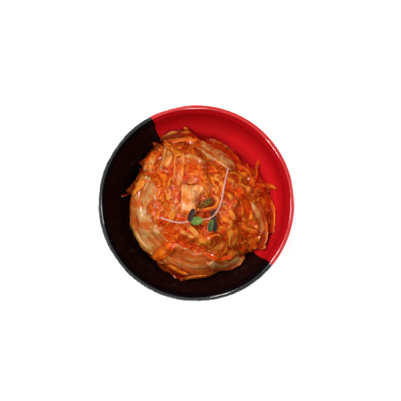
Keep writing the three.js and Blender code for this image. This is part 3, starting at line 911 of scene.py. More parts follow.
@dataclass
class Laid:
    """The mesh of pieces already laid, gathered as lists of arrays."""

    points: list[np.ndarray] = field(default_factory=list)
    faces: list[np.ndarray] = field(default_factory=list)
    held: dict[str, list[np.ndarray]] = field(default_factory=dict)
    total: int = 0

    def add(self, shell: np.ndarray, faces: np.ndarray, held: dict[str, Any]) -> None:
        """Add one piece's shell and the values that it holds at its points.

        Args:
            shell: Its points, upper face first.
            faces: Its faces.
            held: Value names to one number, or to the values of one face's points.
        """
        self.points.append(shell)
        self.faces.append(faces + self.total)
        for name, values in held.items():
            if np.isscalar(values):
                spread = np.full(len(shell), float(values))
            else:
                spread = np.concatenate([values, values])
            self.held.setdefault(name, []).append(spread)
        self.total += len(shell)


@dataclass(frozen=True)
class SauceBand:
    """A band of the heap that holds more or less sauce, in millimetres."""

    path: Points
    width: float
    strength: float

    def over(self, x: np.ndarray, y: np.ndarray) -> np.ndarray:
        """Return how much sauce the band adds at each place."""
        nearest = np.full(x.shape, np.inf)
        for a, b in zip(self.path, self.path[1:]):
            way = np.subtract(b, a)
            share = np.clip(((x - a[0]) * way[0] + (y - a[1]) * way[1]) / (way @ way), 0, 1)
            nearest = np.minimum(nearest, np.hypot(x - a[0] - share * way[0], y - a[1] - share * way[1]))
        return self.strength * np.exp(-((nearest / self.width) ** 2))


SAUCE_BANDS: tuple[SauceBand, ...] = (
    SauceBand(((-25.5, -1.3), (-22.5, -9), (-17.8, -14.8), (-9.6, -18.9)), 2.6, 0.8),
    SauceBand(((-3.7, -24.2), (6.8, -31.3), (17.4, -31.9)), 2.4, 0.8),
    SauceBand(((4.0, -17.8), (8, -18)), 3.0, 0.8),
    SauceBand(((20, 8.5), (24, 6), (25, -2)), 3.5, 0.6),
    SauceBand(((-2, 22), (7, 18), (14, 20)), 3.0, 0.5),
    SauceBand(((3.5, -6), (8.5, -5.8)), 2.2, 0.9),
    SauceBand(((4.9, -16.6), (5.2, -17.2)), 2.4, 0.8),
    SauceBand(((-7.0, 2.6), (-5.6, 0.9)), 2.0, 0.9),
    SauceBand(((-5.5, -6.5), (-7.5, -8.5)), 3.0, 0.8),
    SauceBand(((-34, 4), (-34, -14), (-28, -24)), 8.0, -0.15),
    SauceBand(((-39, 2.4), (-33.7, -0.9)), 2.4, 0.8),
    SauceBand(((-38.3, -10.6), (-28.7, -14.3)), 2.4, 0.8),
    # Less sauce on the low-left of the stalk: a paler stalk, and partly painted light against the shade on
    # that flank.
    SauceBand(((-35, -19), (-28, -25), (-20, -30)), 5.0, -0.6),
    SauceBand(((-16, -32), (4, -37), (22, -36)), 6.0, -0.2),
)


def sauce_over(x: np.ndarray, y: np.ndarray) -> np.ndarray:
    """Return how much more sauce than usual lies at each place of the heap."""
    return sum(band.over(x, y) for band in SAUCE_BANDS)


class Cutter:
    """Shapes cut pieces and lays them on a pile."""

    def __init__(self, pile: Pile, seed: int) -> None:
        """Work on a pile with random draws from a seed."""
        self.pile = pile
        self.random = np.random.default_rng(seed)
        self.grain = Grain(seed)

    def half_width(self, cut: Cut, s: np.ndarray, v: np.ndarray, length: float,
                   shift: np.ndarray) -> np.ndarray:
        """Return half of a piece's width, with its cut ends and uneven sides.

        Args:
            cut: The piece.
            s: Share of its length, down the rows.
            v: Place across it from -1 to 1, along the columns.
            length: Its length.
            shift: Where its own noise starts.

        Returns:
            Half the width at each point.
        """
        style: CutStyle = cut.kind.value
        noise = self.grain.at
        blunt = (1 - np.abs(2 * s - 1) ** style.blunt) ** (1 / style.blunt)
        first, last = self.random.uniform(style.taper - 0.25, style.taper + 0.25, 2)
        ends = first * (1 - s) + last * s
        half = cut.width / 2 * (blunt + ends * (1 - blunt)) * (1 + cut.wedge * (0.5 - s))
        side = np.sign(v) * 7 + shift[1]
        ragged = noise(s * length / 6 + shift[0], side) + 0.5 * noise(s * length / 2.2 + shift[0], side)
        ragged = ragged + 0.25 * noise(s * length / 1.1 + shift[0], side)
        return half * (1 + style.ragged * ragged * np.abs(v))

    def rolled(self, cut: Cut, half: np.ndarray, s: np.ndarray, v: np.ndarray,
               shift: np.ndarray) -> tuple[np.ndarray, np.ndarray]:
        """Curl and pleat a piece, and return how far each point lies from its middle line.

        Args:
            cut: The piece.
            half: Half its width at each point.
            s: Share of its length.
            v: Place across it from -1 to 1.
            shift: Where its own noise starts.

        Returns:
            The sideways and upward distances.
        """
        noise = self.grain.at
        waver = 0.7 + 0.5 * noise(s * 2.5 + shift[0], shift[1])
        turn = np.where(v > 0, cut.curl[1], -cut.curl[0]) * v ** 2 * waver
        pleats = 2.2 * noise(v * cut.width / cut.pleat + shift[1] + 0.6 * noise(s * 3 + shift[1], shift[0]),
                             s * 1.6 + shift[0])
        turn = turn + cut.folds * pleats
        step = 2 / (v.shape[1] - 1)
        lateral = np.cumsum(np.cos(turn) * half * step, axis=1)
        vertical = np.cumsum(np.sin(turn) * half * step, axis=1)
        centre = v.shape[1] // 2
        return lateral - lateral[:, centre:centre + 1], vertical - vertical[:, centre:centre + 1]

    def creases(self, along: np.ndarray, across: np.ndarray, shift: np.ndarray,
                style: CutStyle) -> np.ndarray:
        """Return the crumpled folds of a wet leaf, from about -0.6 to 1.

        Args:
            along: Distance along the piece.
            across: Distance across it.
            shift: Where its own noise starts.
            style: The style of its kind.

        Returns:
            The height of the folds at each point.
        """
        noise = self.grain.at
        along = along / style.stretch
        a = along + 1.5 * noise(along / 3.4 + shift[1], across / 3.4 + shift[0])
        b = across + 1.5 * noise(along / 3.4 + shift[0] + 9, across / 3.4 + shift[1])
        folds = 1 - 2.2 * np.abs(noise(a / 7 + shift[0], b / 4.6 + shift[1]))
        small = 1 - 2.2 * np.abs(noise(a / 3 + shift[1], b / 2.3 + shift[0]))
        fine = 0.2 * noise(a / 1.3 + shift[0], b / 1.3 + shift[1]) + 0.09 * noise(a / 0.55, b / 0.55)
        return 0.6 * folds + (0.2 + 0.18 * style.fine) * small + fine * style.fine

    def lay(self, cut: Cut, laid: Laid, spacing: float) -> None:
        """Shape one piece over what lies under it, and add it.

        Args:
            cut: The piece.
            laid: The mesh that it joins.
            spacing: Distance between its points.
        """
        style: CutStyle = cut.kind.value
        noise = self.grain.at
        rough_length = np.linalg.norm(np.diff(np.array(cut.path, float), axis=0), axis=1).sum()
        rows = int(np.clip(rough_length / spacing, *ROWS))
        columns = int(np.clip(cut.width / spacing, *COLUMNS)) | 1
        line = smooth_line(cut.path, rows)
        length = np.linalg.norm(np.diff(line, axis=0), axis=1).sum()
        heading = np.gradient(line, axis=0)
        heading /= np.maximum(np.linalg.norm(heading, axis=1, keepdims=True), TINY)
        s = np.linspace(0, 1, rows)[:, None]
        v = np.linspace(-1, 1, columns)[None, :]
        u = 2 * s - 1
        phase = self.random.random(3) * 2 * math.pi
        shift = self.random.random(2) * 60

        half = self.half_width(cut, s, v, length, shift)
        lateral, vertical = self.rolled(cut, half, s, v, shift)
        uneven = noise(v * cut.width / 3.5 + shift[1], np.sign(u) * 5 + shift[0])
        torn = style.tear * uneven * np.abs(u) ** 4 * u
        x = line[:, :1] - heading[:, 1:] * lateral + heading[:, :1] * torn
        y = line[:, 1:] + heading[:, :1] * lateral + heading[:, 1:] * torn
        along = np.broadcast_to(s * length, x.shape)

        base = self.pile.sample(self.pile.softened(self.pile.spread(style.bridge), style.drape), x, y)
        lift = cut.lift[0] * 0.5 * u * (u - 1) + cut.lift[1] * (1 - u * u) + cut.lift[2] * 0.5 * u * (u + 1)
        wave = np.sin(2 * math.pi * length / 6.5 * s + np.sign(v) * phase[0] + phase[1])
        ruffle = style.ruffle * cut.crumple * np.abs(v) ** 2 * np.maximum(wave, -0.3)
        crumple = self.creases(along, lateral, shift, style) * style.crumple * cut.crumple
        own = np.clip(vertical, -0.6, 2.5) + ruffle + crumple
        sunk = style.droop * np.maximum(v ** 4, u ** 6)
        z = base + style.thickness * 0.4 + own + lift - sunk + cut.tilt * v
        points = np.stack([x, y, z], axis=-1)
        passes = int(round((1.3 / spacing) ** 2 * 2))
        # How far each point stands above its neighbours: the finish paints ridge tops lighter as a painted
        # highlight, and hollows redder.
        crest = np.clip(0.5 + (own - blurred(own, passes)) / 0.8, 0, 1)

        thin = (1 - (1 - style.edge) * np.abs(v) ** 3) * (1 - (1 - style.edge) * np.abs(u) ** 8)
        half_normal = surface_normals(points) * (style.thickness / 2 * thin)[..., None]
        top, bottom = points + half_normal, points - half_normal
        shell = np.vstack([top.reshape(-1, 3), bottom.reshape(-1, 3)])
        midrib = np.exp(-(v / style.midrib) ** 2) * (0.8 - style.fade * s)
        if cut.kind is RIB:
            midrib = np.ones_like(midrib)
        # How near each point lies to the piece's edge; the finish paints it paler, partly as a painted
        # highlight.
        edge = np.maximum(np.abs(v) ** 6, 0.8 * np.abs(u) ** 14)
        slope = 0.5 * (s - 0.5) * math.cos(phase[2])
        tone = np.clip(cut.tone.value + slope + 0.3 * noise(along / 5 + shift[0], lateral / 4), 0, 1)
        soak = style.soak * np.maximum(np.abs(v) ** 3, np.abs(u) ** 6)
        grain = [along + shift[0], lateral + shift[1], np.full(x.shape, shift[0])]
        laid.add(shell, shell_faces(rows, columns), {
            "grain": np.stack(grain, axis=-1).reshape(-1, 3),
            "rib": np.broadcast_to(midrib, x.shape).ravel() * cut.tone.value,
            "edge": np.broadcast_to(edge, x.shape).ravel(),
            "crest": crest.ravel(),
            "sauce": (cut.sauce + soak + sauce_over(x, y)).ravel(),
            "tone": tone.ravel(),
        })
        self.pile.lay(top)


OUTER_CUTS: tuple[Cut, ...] = (
    Cut(SHRED, ((-7, 47), (-3, 43), (0.5, 39), (6, 35)), 4.4, YELLOW, 0.3, (1, 1, 0)),
    Cut(LEAF, ((-20, 39), (-10, 42), (3, 39)), 8, YELLOW, 0.35, (0, 1, 0)),
    Cut(SHRED, ((-26, 38), (-20, 33)), 4, YELLOW, 0.3),
    Cut(SHRED, ((-34.5, 27), (-27.5, 23)), 4.5, ORANGE, 0.5),
    Cut(RIB, ((-26, 31.5), (-29.5, 20)), 7.5, YELLOW, 0.25, (0, 0.5, 0), folds=0.8, pleat=1.6),
    Cut(SHRED, ((-39, 7.5), (-46.5, 4.5)), 1.8, YELLOW, 0.1),
    Cut(STALK, ((-27.5, 15), (-31.5, 1), (-31.5, -12), (-25.5, -22.5), (-14, -32)), 18, PALE, 0.3,
        folds=0.4, pleat=4.0, crumple=1.3, tilt=-2.4),
    Cut(LEAF, ((-32.5, 18), (-36, 11.5), (-40.5, 7)), 7.5, YELLOW, 0.3),
    Cut(STALK, ((-19, -28), (-4.5, -36), (9.5, -37)), 16, PALE, 0.75, folds=0.3, pleat=4.0),
    Cut(LEAF, ((-17, -39), (-11, -42.5), (-5, -44.5)), 6.5, AMBER, 0.45, (0.8, 1.2, 1.2)),
    Cut(SHRED, ((-9, -46.5), (8, -44.5)), 2.4, YELLOW, 0.3),
    Cut(STALK, ((7, -34), (18, -37), (28.5, -31)), 10, PALE, 0.3, folds=0.4, pleat=3.0),
    Cut(STALK, ((32, 0), (38, -13), (37, -28)), 12, YELLOW, 0.3, folds=0.5, pleat=3.5, tilt=1.5),
    Cut(SHRED, ((43.5, 4.5), (46.5, -5), (45, -19)), 6, ORANGE, 0.6),
    Cut(LEAF, ((31, 9.5), (41, 11), (48.5, 9)), 7.5, ORANGE, 0.5, (0, 1, 1.5), crumple=0.7),
    Cut(SHRED, ((32.5, 26), (32, 15.5), (38, 17), (39, 27)), 2.6, AMBER, 0.5, (0.5, 1, 0.5)),
    Cut(LEAF, ((4.5, 39), (16.5, 32), (29, 17.5)), 13, ORANGE, 0.7, folds=0.3, pleat=4.5, crumple=0.6),
    Cut(LEAF, ((19.5, 19.5), (26, 22.5), (32, 17)), 8, AMBER, 0.5, crumple=0.8),
    Cut(SHRED, ((25, -22), (30, -30)), 4, ORANGE, 0.9),
)

INNER_CUTS: tuple[Cut, ...] = (
    Cut(STALK, ((1.5, 36), (10, 30.5), (22, 22)), 10, PALE, 0.15, folds=0.4, pleat=3.6, crumple=1.5,
        tilt=0.8),
    Cut(LEAF, ((-17, 31), (-8, 26), (2, 27)), 11, ORANGE, 0.5, crumple=0.8),
    Cut(RIB, ((-15.5, 33.5), (-19, 21)), 8.5, YELLOW, 0.1, (0.0, 0.5, 0.0), folds=0.8, pleat=1.6),
    Cut(STALK, ((-8, 26), (-2.5, 25.5), (5, 21.5)), 6.5, AMBER, 0.4, crumple=0.8),
    Cut(LEAF, ((-24.5, 19), (-19, 10.5), (-21.5, 0)), 12, ORANGE, 0.5),
    Cut(FRILL, ((-7, 20), (3, 16), (13, 18)), 9, AMBER, 0.5),
    Cut(LEAF, ((-4, 14.5), (4, 11), (9, 4)), 8.5, AMBER, 0.3),
    Cut(FRILL, ((9, 17), (12, 12), (12.5, 6)), 7, YELLOW, 0.2),
    Cut(LEAF, ((12, 10), (21, 15), (29, 9.5)), 8, YELLOW, 0.15, curl=(0.7, 0.3)),
    Cut(LEAF, ((22, 10), (29.5, 0), (29.5, -9)), 8.5, ORANGE, 0.65, curl=(0.5, 0.5), crumple=0.6),
    Cut(LEAF, ((19, 7.5), (22, -3)), 6, AMBER, 0.4, (0.3, 0.6, 0.3), folds=0.8, pleat=1.8),
    Cut(FRILL, ((13, -1), (17, -7), (23, -12)), 9, AMBER, 0.35),
    Cut(SHRED, ((18.5, -4.5), (22.5, -10)), 3, PALE, 0.0, (0.5, 0.5, 0.5)),
    Cut(LEAF, ((24, -12.5), (29, -17), (35, -19)), 8, AMBER, 0.55, crumple=0.4),
    Cut(LEAF, ((1, -14), (9, -16.5), (17.5, -20)), 10, AMBER, 0.6),
    Cut(RIB, ((-3, -13), (0.5, -19.5)), 4, YELLOW, 0.2),
    Cut(SHRED, ((-11, -19.5), (-16.5, -27), (-25.5, -35)), 6.4, ORANGE, 0.9, (0, 0.4, 0), crumple=0.6),
    Cut(FRILL, ((-12, -15), (-8, -21), (-4, -25)), 7, AMBER, 0.6),
    Cut(LEAF, ((-21, -12), (-16.5, -5.5), (-12, -1)), 11, YELLOW, 0.3, pleat=2.2, crumple=0.5),
    Cut(LEAF, ((-17.5, 8.5), (-15.5, 1)), 5, YELLOW, 0.1, (0.3, 0.3, 0.3)),
    Cut(SHRED, ((-14.5, 18.5), (-14, 15), (-16, 12.5), (-17, 8)), 1.8, PALE, 0.0, (0.3, 0.6, 0.3)),
    Cut(LEAF, ((-9.5, 30), (-10, 22), (-11, 10.5)), 8, YELLOW, 0.1, (0.3, 0.3, 0.3), crumple=0.7,
        tilt=-1.2),
    Cut(LEAF, ((-19, 40), (-16.5, 35.5), (-11.5, 31), (-9, 27)), 5, YELLOW, 0.2, tilt=-1.0),
    Cut(FRILL, ((-10.5, -16), (-6.5, -17.5), (-2.5, -19)), 4, PALE, 0.1, tilt=-0.8),
    Cut(LEAF, ((-5, -14), (-1, -18), (2, -21), (5.5, -24), (7.5, -25), (8.5, -24), (10, -20.5),
                       (14, -20.5)), 5, YELLOW, 0.1, (0.6, 0.8, 0.6), crumple=0.7, tilt=1.2),
    Cut(LEAF, ((19.5, -12), (21, -18), (21.7, -26)), 6, YELLOW, 0.25, (0.6, 0.8, 0.3), curl=(1.3, 1.3),
        crumple=0.6),
    Cut(SHRED, ((4, -29.5), (13.5, -33.5), (22.5, -32)), 3, ORANGE, 1.0),
)

TOP_CUTS: tuple[Cut, ...] = (
    Cut(RIB, ((-2.8, 9.8), (-3.8, 2), (-5.4, -7)), 11, PALE, 0.1, (0.9, 0.9, 0.6), folds=0.2,
        crumple=0.9, wedge=0.4),
    Cut(SHRED, ((0, -4.2), (6.5, -4), (10.5, -2.5), (12.3, 1), (10.3, 3.8)), 2.6, YELLOW, 0.1,
        (0.9, 1.5, 0.9), crumple=0.5),
    Cut(HERB, ((1.6, -3.2), (5, 0.0), (9.2, 1.8)), 4.2, AMBER, 0.0, (1.1, 1.3, 1.1), crumple=1.2),
    Cut(LEAF, ((-32, 25), (-29, 30), (-23.5, 34.5)), 5, AMBER, 0.4),
)


@dataclass(frozen=True)
class Fillers:
    """Pieces laid by chance under and between the named ones."""

    count: int
    mixture: tuple[float, float, float, float]  # share of leaves, ribs, shreds and frills
    reach: float  # share of the outline that their middles keep within
    shrink: float  # their size as a share of the usual one
    spacing: float  # distance between their points, in millimetres


LOW_FILLERS = Fillers(80, (0.62, 0.1, 0.28, 0.0), 0.93, 1.0, 1.1)
HIGH_FILLERS = Fillers(26, (0.55, 0.0, 0.1, 0.35), 0.68, 1.2, 0.5)
FILLER_WIDTHS = {LEAF: (6, 13), RIB: (5, 8), SHRED: (2, 4), FRILL: (6, 12)}  # least and greatest
LUMPS = ((2.6, 0.4), (1.2, 0.25), (0.6, 0.1))  # size and height of the sauce's unevenness, in millimetres
OUTER_SPACING, INNER_SPACING, TOP_SPACING = 0.6, 0.55, 0.5  # between a piece's points, in millimetres

FINISHES: dict[CutKind, tuple[str, CabbageFinish]] = {
    LEAF: ("kimchi_leaves", CabbageFinish("cabbage_leaf")),
    STALK: ("kimchi_stalks", CabbageFinish(
        "cabbage_stalk", warm=srgb(190, 94, 16), pale=srgb(190, 132, 64), cream=srgb(212, 168, 112),
        edge=srgb(210, 150, 80), sauce=srgb(198, 76, 12), deep=srgb(160, 36, 6), grooves=0.3 * MM,
        crinkle=0.35 * MM, haze=0.24, blotch=0.85, depth=2.4 * MM)),
    RIB: ("kimchi_ribs", CabbageFinish(
        "cabbage_rib", warm=srgb(226, 114, 26), cream=srgb(228, 174, 112), sauce=srgb(224, 106, 18),
        grooves=0.3 * MM, film=0.9, haze=0.22, blotch=0.6, depth=2.4 * MM)),
    SHRED: ("kimchi_shreds", CabbageFinish("cabbage_shred", grooves=0.35 * MM, crinkle=0.6 * MM)),
    FRILL: ("kimchi_frills", CabbageFinish("cabbage_frill")),
    HERB: ("kimchi_herb", CabbageFinish(
        "leaf_green", warm=srgb(70, 68, 18), pale=srgb(134, 134, 52), edge=srgb(150, 110, 36),
        sauce=srgb(110, 70, 20), film=0.4)),
}


@dataclass
class Kimchi:
    """The heap: cut cabbage laid on a core, sauce in the hollows, and chilli flakes and seeds."""

    form: HeapForm = field(default_factory=HeapForm)
    core_depth: float = 5.0
    seed: int = 7
    flake_count: int = 80
    seed_count: int = 8
    film: float = 1.0  # depth of the open hollows above the sauce, in millimetres
    hollow: int = 3  # grid cells: hollows less than twice as wide count as filled
    glaze_rings: int = 118
    glaze_sectors: int = 400
    glaze_skip: int = 6  # the underside keeps one ring in so many
    tries: int = 10  # places tried for each filler
    bit_sides: int = 6
    bit_reach: float = 0.95  # share of the outline that small bits keep within
    steepest: float = 1.5  # greatest slope that a small bit follows

    def __post_init__(self) -> None:
        """Start the pile on the core."""
        self.pile = Pile(self.form, self.core_depth)
        self.level = self.pile.heights
        self.laid = {kind: Laid() for kind in CutKind}

    def low_place(self, random: np.random.Generator, half: float, reach: float) -> list[np.ndarray]:
        """Find a place for a filler where the heap is low and its outline far.

        Args:
            random: The random draws.
            half: Half the filler's length.
            reach: Share of the outline that its middle keeps within.

        Returns:
            The filler's middle and its direction.
        """
        steps = np.linspace(-0.9, 0.9, 7)
        best, depth = [], math.inf
        for _ in range(self.tries):
            angle, heading = random.random(2) * 2 * math.pi
            radius = reach * float(self.form.outline(np.array(angle))) * math.sqrt(random.random())
            middle = np.array(self.form.centre) + radius * np.array([math.cos(angle), math.sin(angle)])
            along = np.array([math.cos(heading), math.sin(heading)])
            spots = middle + steps[:, None] * along * half
            above = (self.pile.sample(self.pile.heights, *spots.T) - self.form.height(*spots.T)).mean()
            above += 25 * max(0.0, float(self.form.share(*spots.T).max()) - 0.92)
            if above < depth:
                best, depth = [middle, along], above
        return best

    def lay_fillers(self, cutter: Cutter, fillers: Fillers) -> None:
        """Lay the fillers, each where the heap is low."""
        random = cutter.random
        kinds = random.choice(list(FILLER_WIDTHS), fillers.count, p=fillers.mixture)
        tones = random.choice(list(Tone), fillers.count, p=TONE_SHARES)
        for kind, tone in zip(kinds, tones):
            half = random.uniform(7, 13) * fillers.shrink
            middle, along = self.low_place(random, half, fillers.reach)
            across = np.array([-along[1], along[0]]) * random.normal() * 3
            path = (tuple(middle - along * half), tuple(middle + across), tuple(middle + along * half))
            tilt = 0.0 if kind is RIB else random.uniform(-1.3, 1.3)
            width = random.uniform(*FILLER_WIDTHS[kind]) * fillers.shrink
            cut = Cut(kind, path, width, tone, random.uniform(0.3, 0.7),
                      curl=tuple(random.uniform(-0.2, 0.8, 2)), folds=random.uniform(0.2, 0.5),
                      pleat=random.uniform(3.0, 6.0), crumple=random.uniform(0.9, 1.4), tilt=tilt)
            cutter.lay(cut, self.laid[kind], fillers.spacing)

    def lay_named(self, cutter: Cutter, cuts: Sequence[Cut], spacing: float) -> None:
        """Lay the pieces that show as themselves."""
        for cut in cuts:
            cutter.lay(cut, self.laid[cut.kind], spacing)

    def lay_cuts(self) -> None:
        """Lay the fillers and the named pieces, from the bottom up."""
        cutter = Cutter(self.pile, self.seed)
        self.lay_fillers(cutter, LOW_FILLERS)
        self.lay_named(cutter, OUTER_CUTS, OUTER_SPACING)
        self.lay_fillers(cutter, HIGH_FILLERS)
        self.lay_named(cutter, INNER_CUTS, INNER_SPACING)
        self.level = self.pile.softened(self.pile.closed(self.hollow), 3)
        self.lay_named(cutter, TOP_CUTS, TOP_SPACING)
        inside = self.form.share(self.pile.x, self.pile.y) < 0.9
        above = (self.pile.heights - self.form.height(self.pile.x, self.pile.y))[inside]
        LOG.info("pile above the form: mean %.2f, 5%% %.2f, 95%% %.2f mm", above.mean(),
                 *np.percentile(above, [5, 95]))

    def dress(self, made: bpy.types.Object) -> bpy.types.Object:
        """Hide the heap's model part and attach a piece to the root body."""
        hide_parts("kimchi_heap")
        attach(made, "root")
        return made

    def build_glaze(self) -> bpy.types.Object:
        """Make the sauce that fills the heap and the hollows between its pieces."""
        rings, sectors = self.glaze_rings, self.glaze_sectors
        grain = Grain(self.seed + 1)
        share = np.linspace(0.01, 0.985, rings)[:, None]
        angle = np.linspace(0, 2 * math.pi, sectors, endpoint=False)[None, :]
        radius = self.form.outline(angle) * share
        x = self.form.centre[0] + radius * np.cos(angle)
        y = self.form.centre[1] + radius * np.sin(angle)
        lumps = sum(grain.at(x / size, y / size) * height for size, height in LUMPS)
        wall = self.form.wall(np.hypot(x, y)) + WALL_GAP
        core = self.form.height(x, y) - self.core_depth
        sunk = self.film + 0.8 * np.clip((share - 0.6) / 0.15, 0, 1)
        sunk = sunk + 3.0 * np.clip((share - 0.9) / 0.08, 0, 1)
        top = np.maximum(np.maximum(self.pile.sample(self.level, x, y) - sunk + lumps, core), wall + 0.2)
        bottom = np.minimum(wall, top - 0.1)
        upper = np.stack([x, y, top], axis=-1).reshape(-1, 3)
        kept = [*range(0, rings - 1, self.glaze_skip), rings - 1]
        lower = np.stack([x, y, bottom], axis=-1)[kept]
        above = np.arange(rings * sectors).reshape(rings, sectors)
        below = above.size + np.arange(len(kept) * sectors).reshape(len(kept), sectors)
        last = above.size + below.size
        faces = np.vstack([
            ring_faces(above),
            ring_faces(below)[:, ::-1],
            ring_faces(np.stack([above[-1], below[-1]])),
            fan_faces(last, above[0]),
            fan_faces(last + 1, below[0], flipped=True),
        ])
        middle = [[*self.form.centre, top[0].mean()], [*self.form.centre, bottom[0].mean()]]
        points = np.vstack([upper, lower.reshape(-1, 3), middle]) * MM
        self.pile.lay(upper)
        return self.dress(mesh_object("kimchi_sauce", points, faces, {}, GlazeFinish().build()))

    def build_cuts(self) -> list[bpy.types.Object]:
        """Make one mesh for each kind of cut piece."""
        level = self.pile.softened(self.pile.closed(self.hollow), 4)
        made = []
        for kind, laid in self.laid.items():
            name, finish = FINISHES[kind]
            points = np.vstack(laid.points)
            held = {key: np.concatenate(values) for key, values in laid.held.items()}
            held["grain"] = held["grain"] * MM
            # Depth under the filled level, by which the finish paints shade into the crevices.
            depth = self.pile.sample(level, points[:, 0], points[:, 1]) - points[:, 2]
            held["pool"] = np.clip(depth / 2.2, 0, 1.5)
            piece = mesh_object(name, points * MM, np.vstack(laid.faces), held, finish.build())
            made.append(self.dress(piece))
        return made

    def scatter(self, name: str, count: int, sizes: tuple[float, float], flatness: float, finish: FlakeFinish,
                seed: int) -> bpy.types.Object:
        """Scatter small bits on top of the heap.

        Args:
            name: The piece's name.
            count: How many bits.
            sizes: Least and greatest width, in millimetres.
            flatness: Thickness as a share of the width.
            finish: Their finish.
            seed: Seed of the random draws.

        Returns:
            The joined bits.
        """
        random = np.random.default_rng(seed)
        sides = self.bit_sides
        ring = np.arange(sides) * math.pi / (sides / 2)
        shape = np.vstack([
            [[0, 0, 0.5]],
            np.stack([np.cos(ring), np.sin(ring), np.zeros(sides)], axis=-1) * 0.5,
            [[0, 0, -0.5]],
        ])
        faces = []
        for this in range(1, sides + 1):
            following = this % sides + 1
            faces.append([0, this, following, following])
            faces.append([sides + 1, following, this, this])
        level = self.pile.softened(self.pile.heights, 2)
        slope_x, slope_y = np.gradient(level, self.pile.pitch)
        points, rows = [], []
        for number in range(count):
            angle, share = random.random() * 2 * math.pi, math.sqrt(random.random()) * self.bit_reach
            reach = share * float(self.form.outline(np.array(angle)))
            x = self.form.centre[0] + reach * math.cos(angle)
            y = self.form.centre[1] + reach * math.sin(angle)
            height, tilt_x, tilt_y = (float(self.pile.sample(grid, np.array(x), np.array(y)))
                                      for grid in (level, slope_x, slope_y))
            tilt_x, tilt_y = np.clip([tilt_x, tilt_y], -self.steepest, self.steepest)
            size = random.uniform(*sizes)
            bit = shape * [size, size * random.uniform(0.5, 0.9), size * flatness]
            bit = bit * random.uniform(0.75, 1.25, bit.shape)
            spin = random.random() * 2 * math.pi
            turned = np.array([[math.cos(spin), -math.sin(spin)], [math.sin(spin), math.cos(spin)]])
            bit[:, :2] = bit[:, :2] @ turned.T
            bit[:, 2] += tilt_x * bit[:, 0] + tilt_y * bit[:, 1]
            points.append(bit + [x, y, height + size * flatness * 0.3])
            rows.append(np.array(faces) + number * len(shape))
        return self.dress(mesh_object(name, np.vstack(points) * MM, np.vstack(rows), {}, finish.build()))

    def build(self) -> list[bpy.types.Object]:
        """Lay the whole heap and make its pieces."""
        self.lay_cuts()
        flakes = FlakeFinish("chilli_flake", srgb(206, 44, 8), srgb(164, 24, 4))
        seeds = FlakeFinish("chilli_seed", srgb(232, 190, 110), srgb(214, 150, 70))
        return [
            self.build_glaze(),
            *self.build_cuts(),
            self.scatter("chilli_flakes", self.flake_count, (0.5, 1.2), 0.15, flakes, 21),
            self.scatter("chilli_seeds", self.seed_count, (1.3, 1.8), 0.35, seeds, 22),
        ]


# ---------------------------------------------------------------------------- sprouts


@dataclass(frozen=True)
class SeedLeaf:
    """One seed leaf of a sprout, in millimetres."""

    root: tuple[float, float]
    tip: tuple[float, float]
    width: float
    finish: str
    rise: float = 0.0
    drop: float = 0.0
    cup: float = 0.5
    tilt: float = 0.0


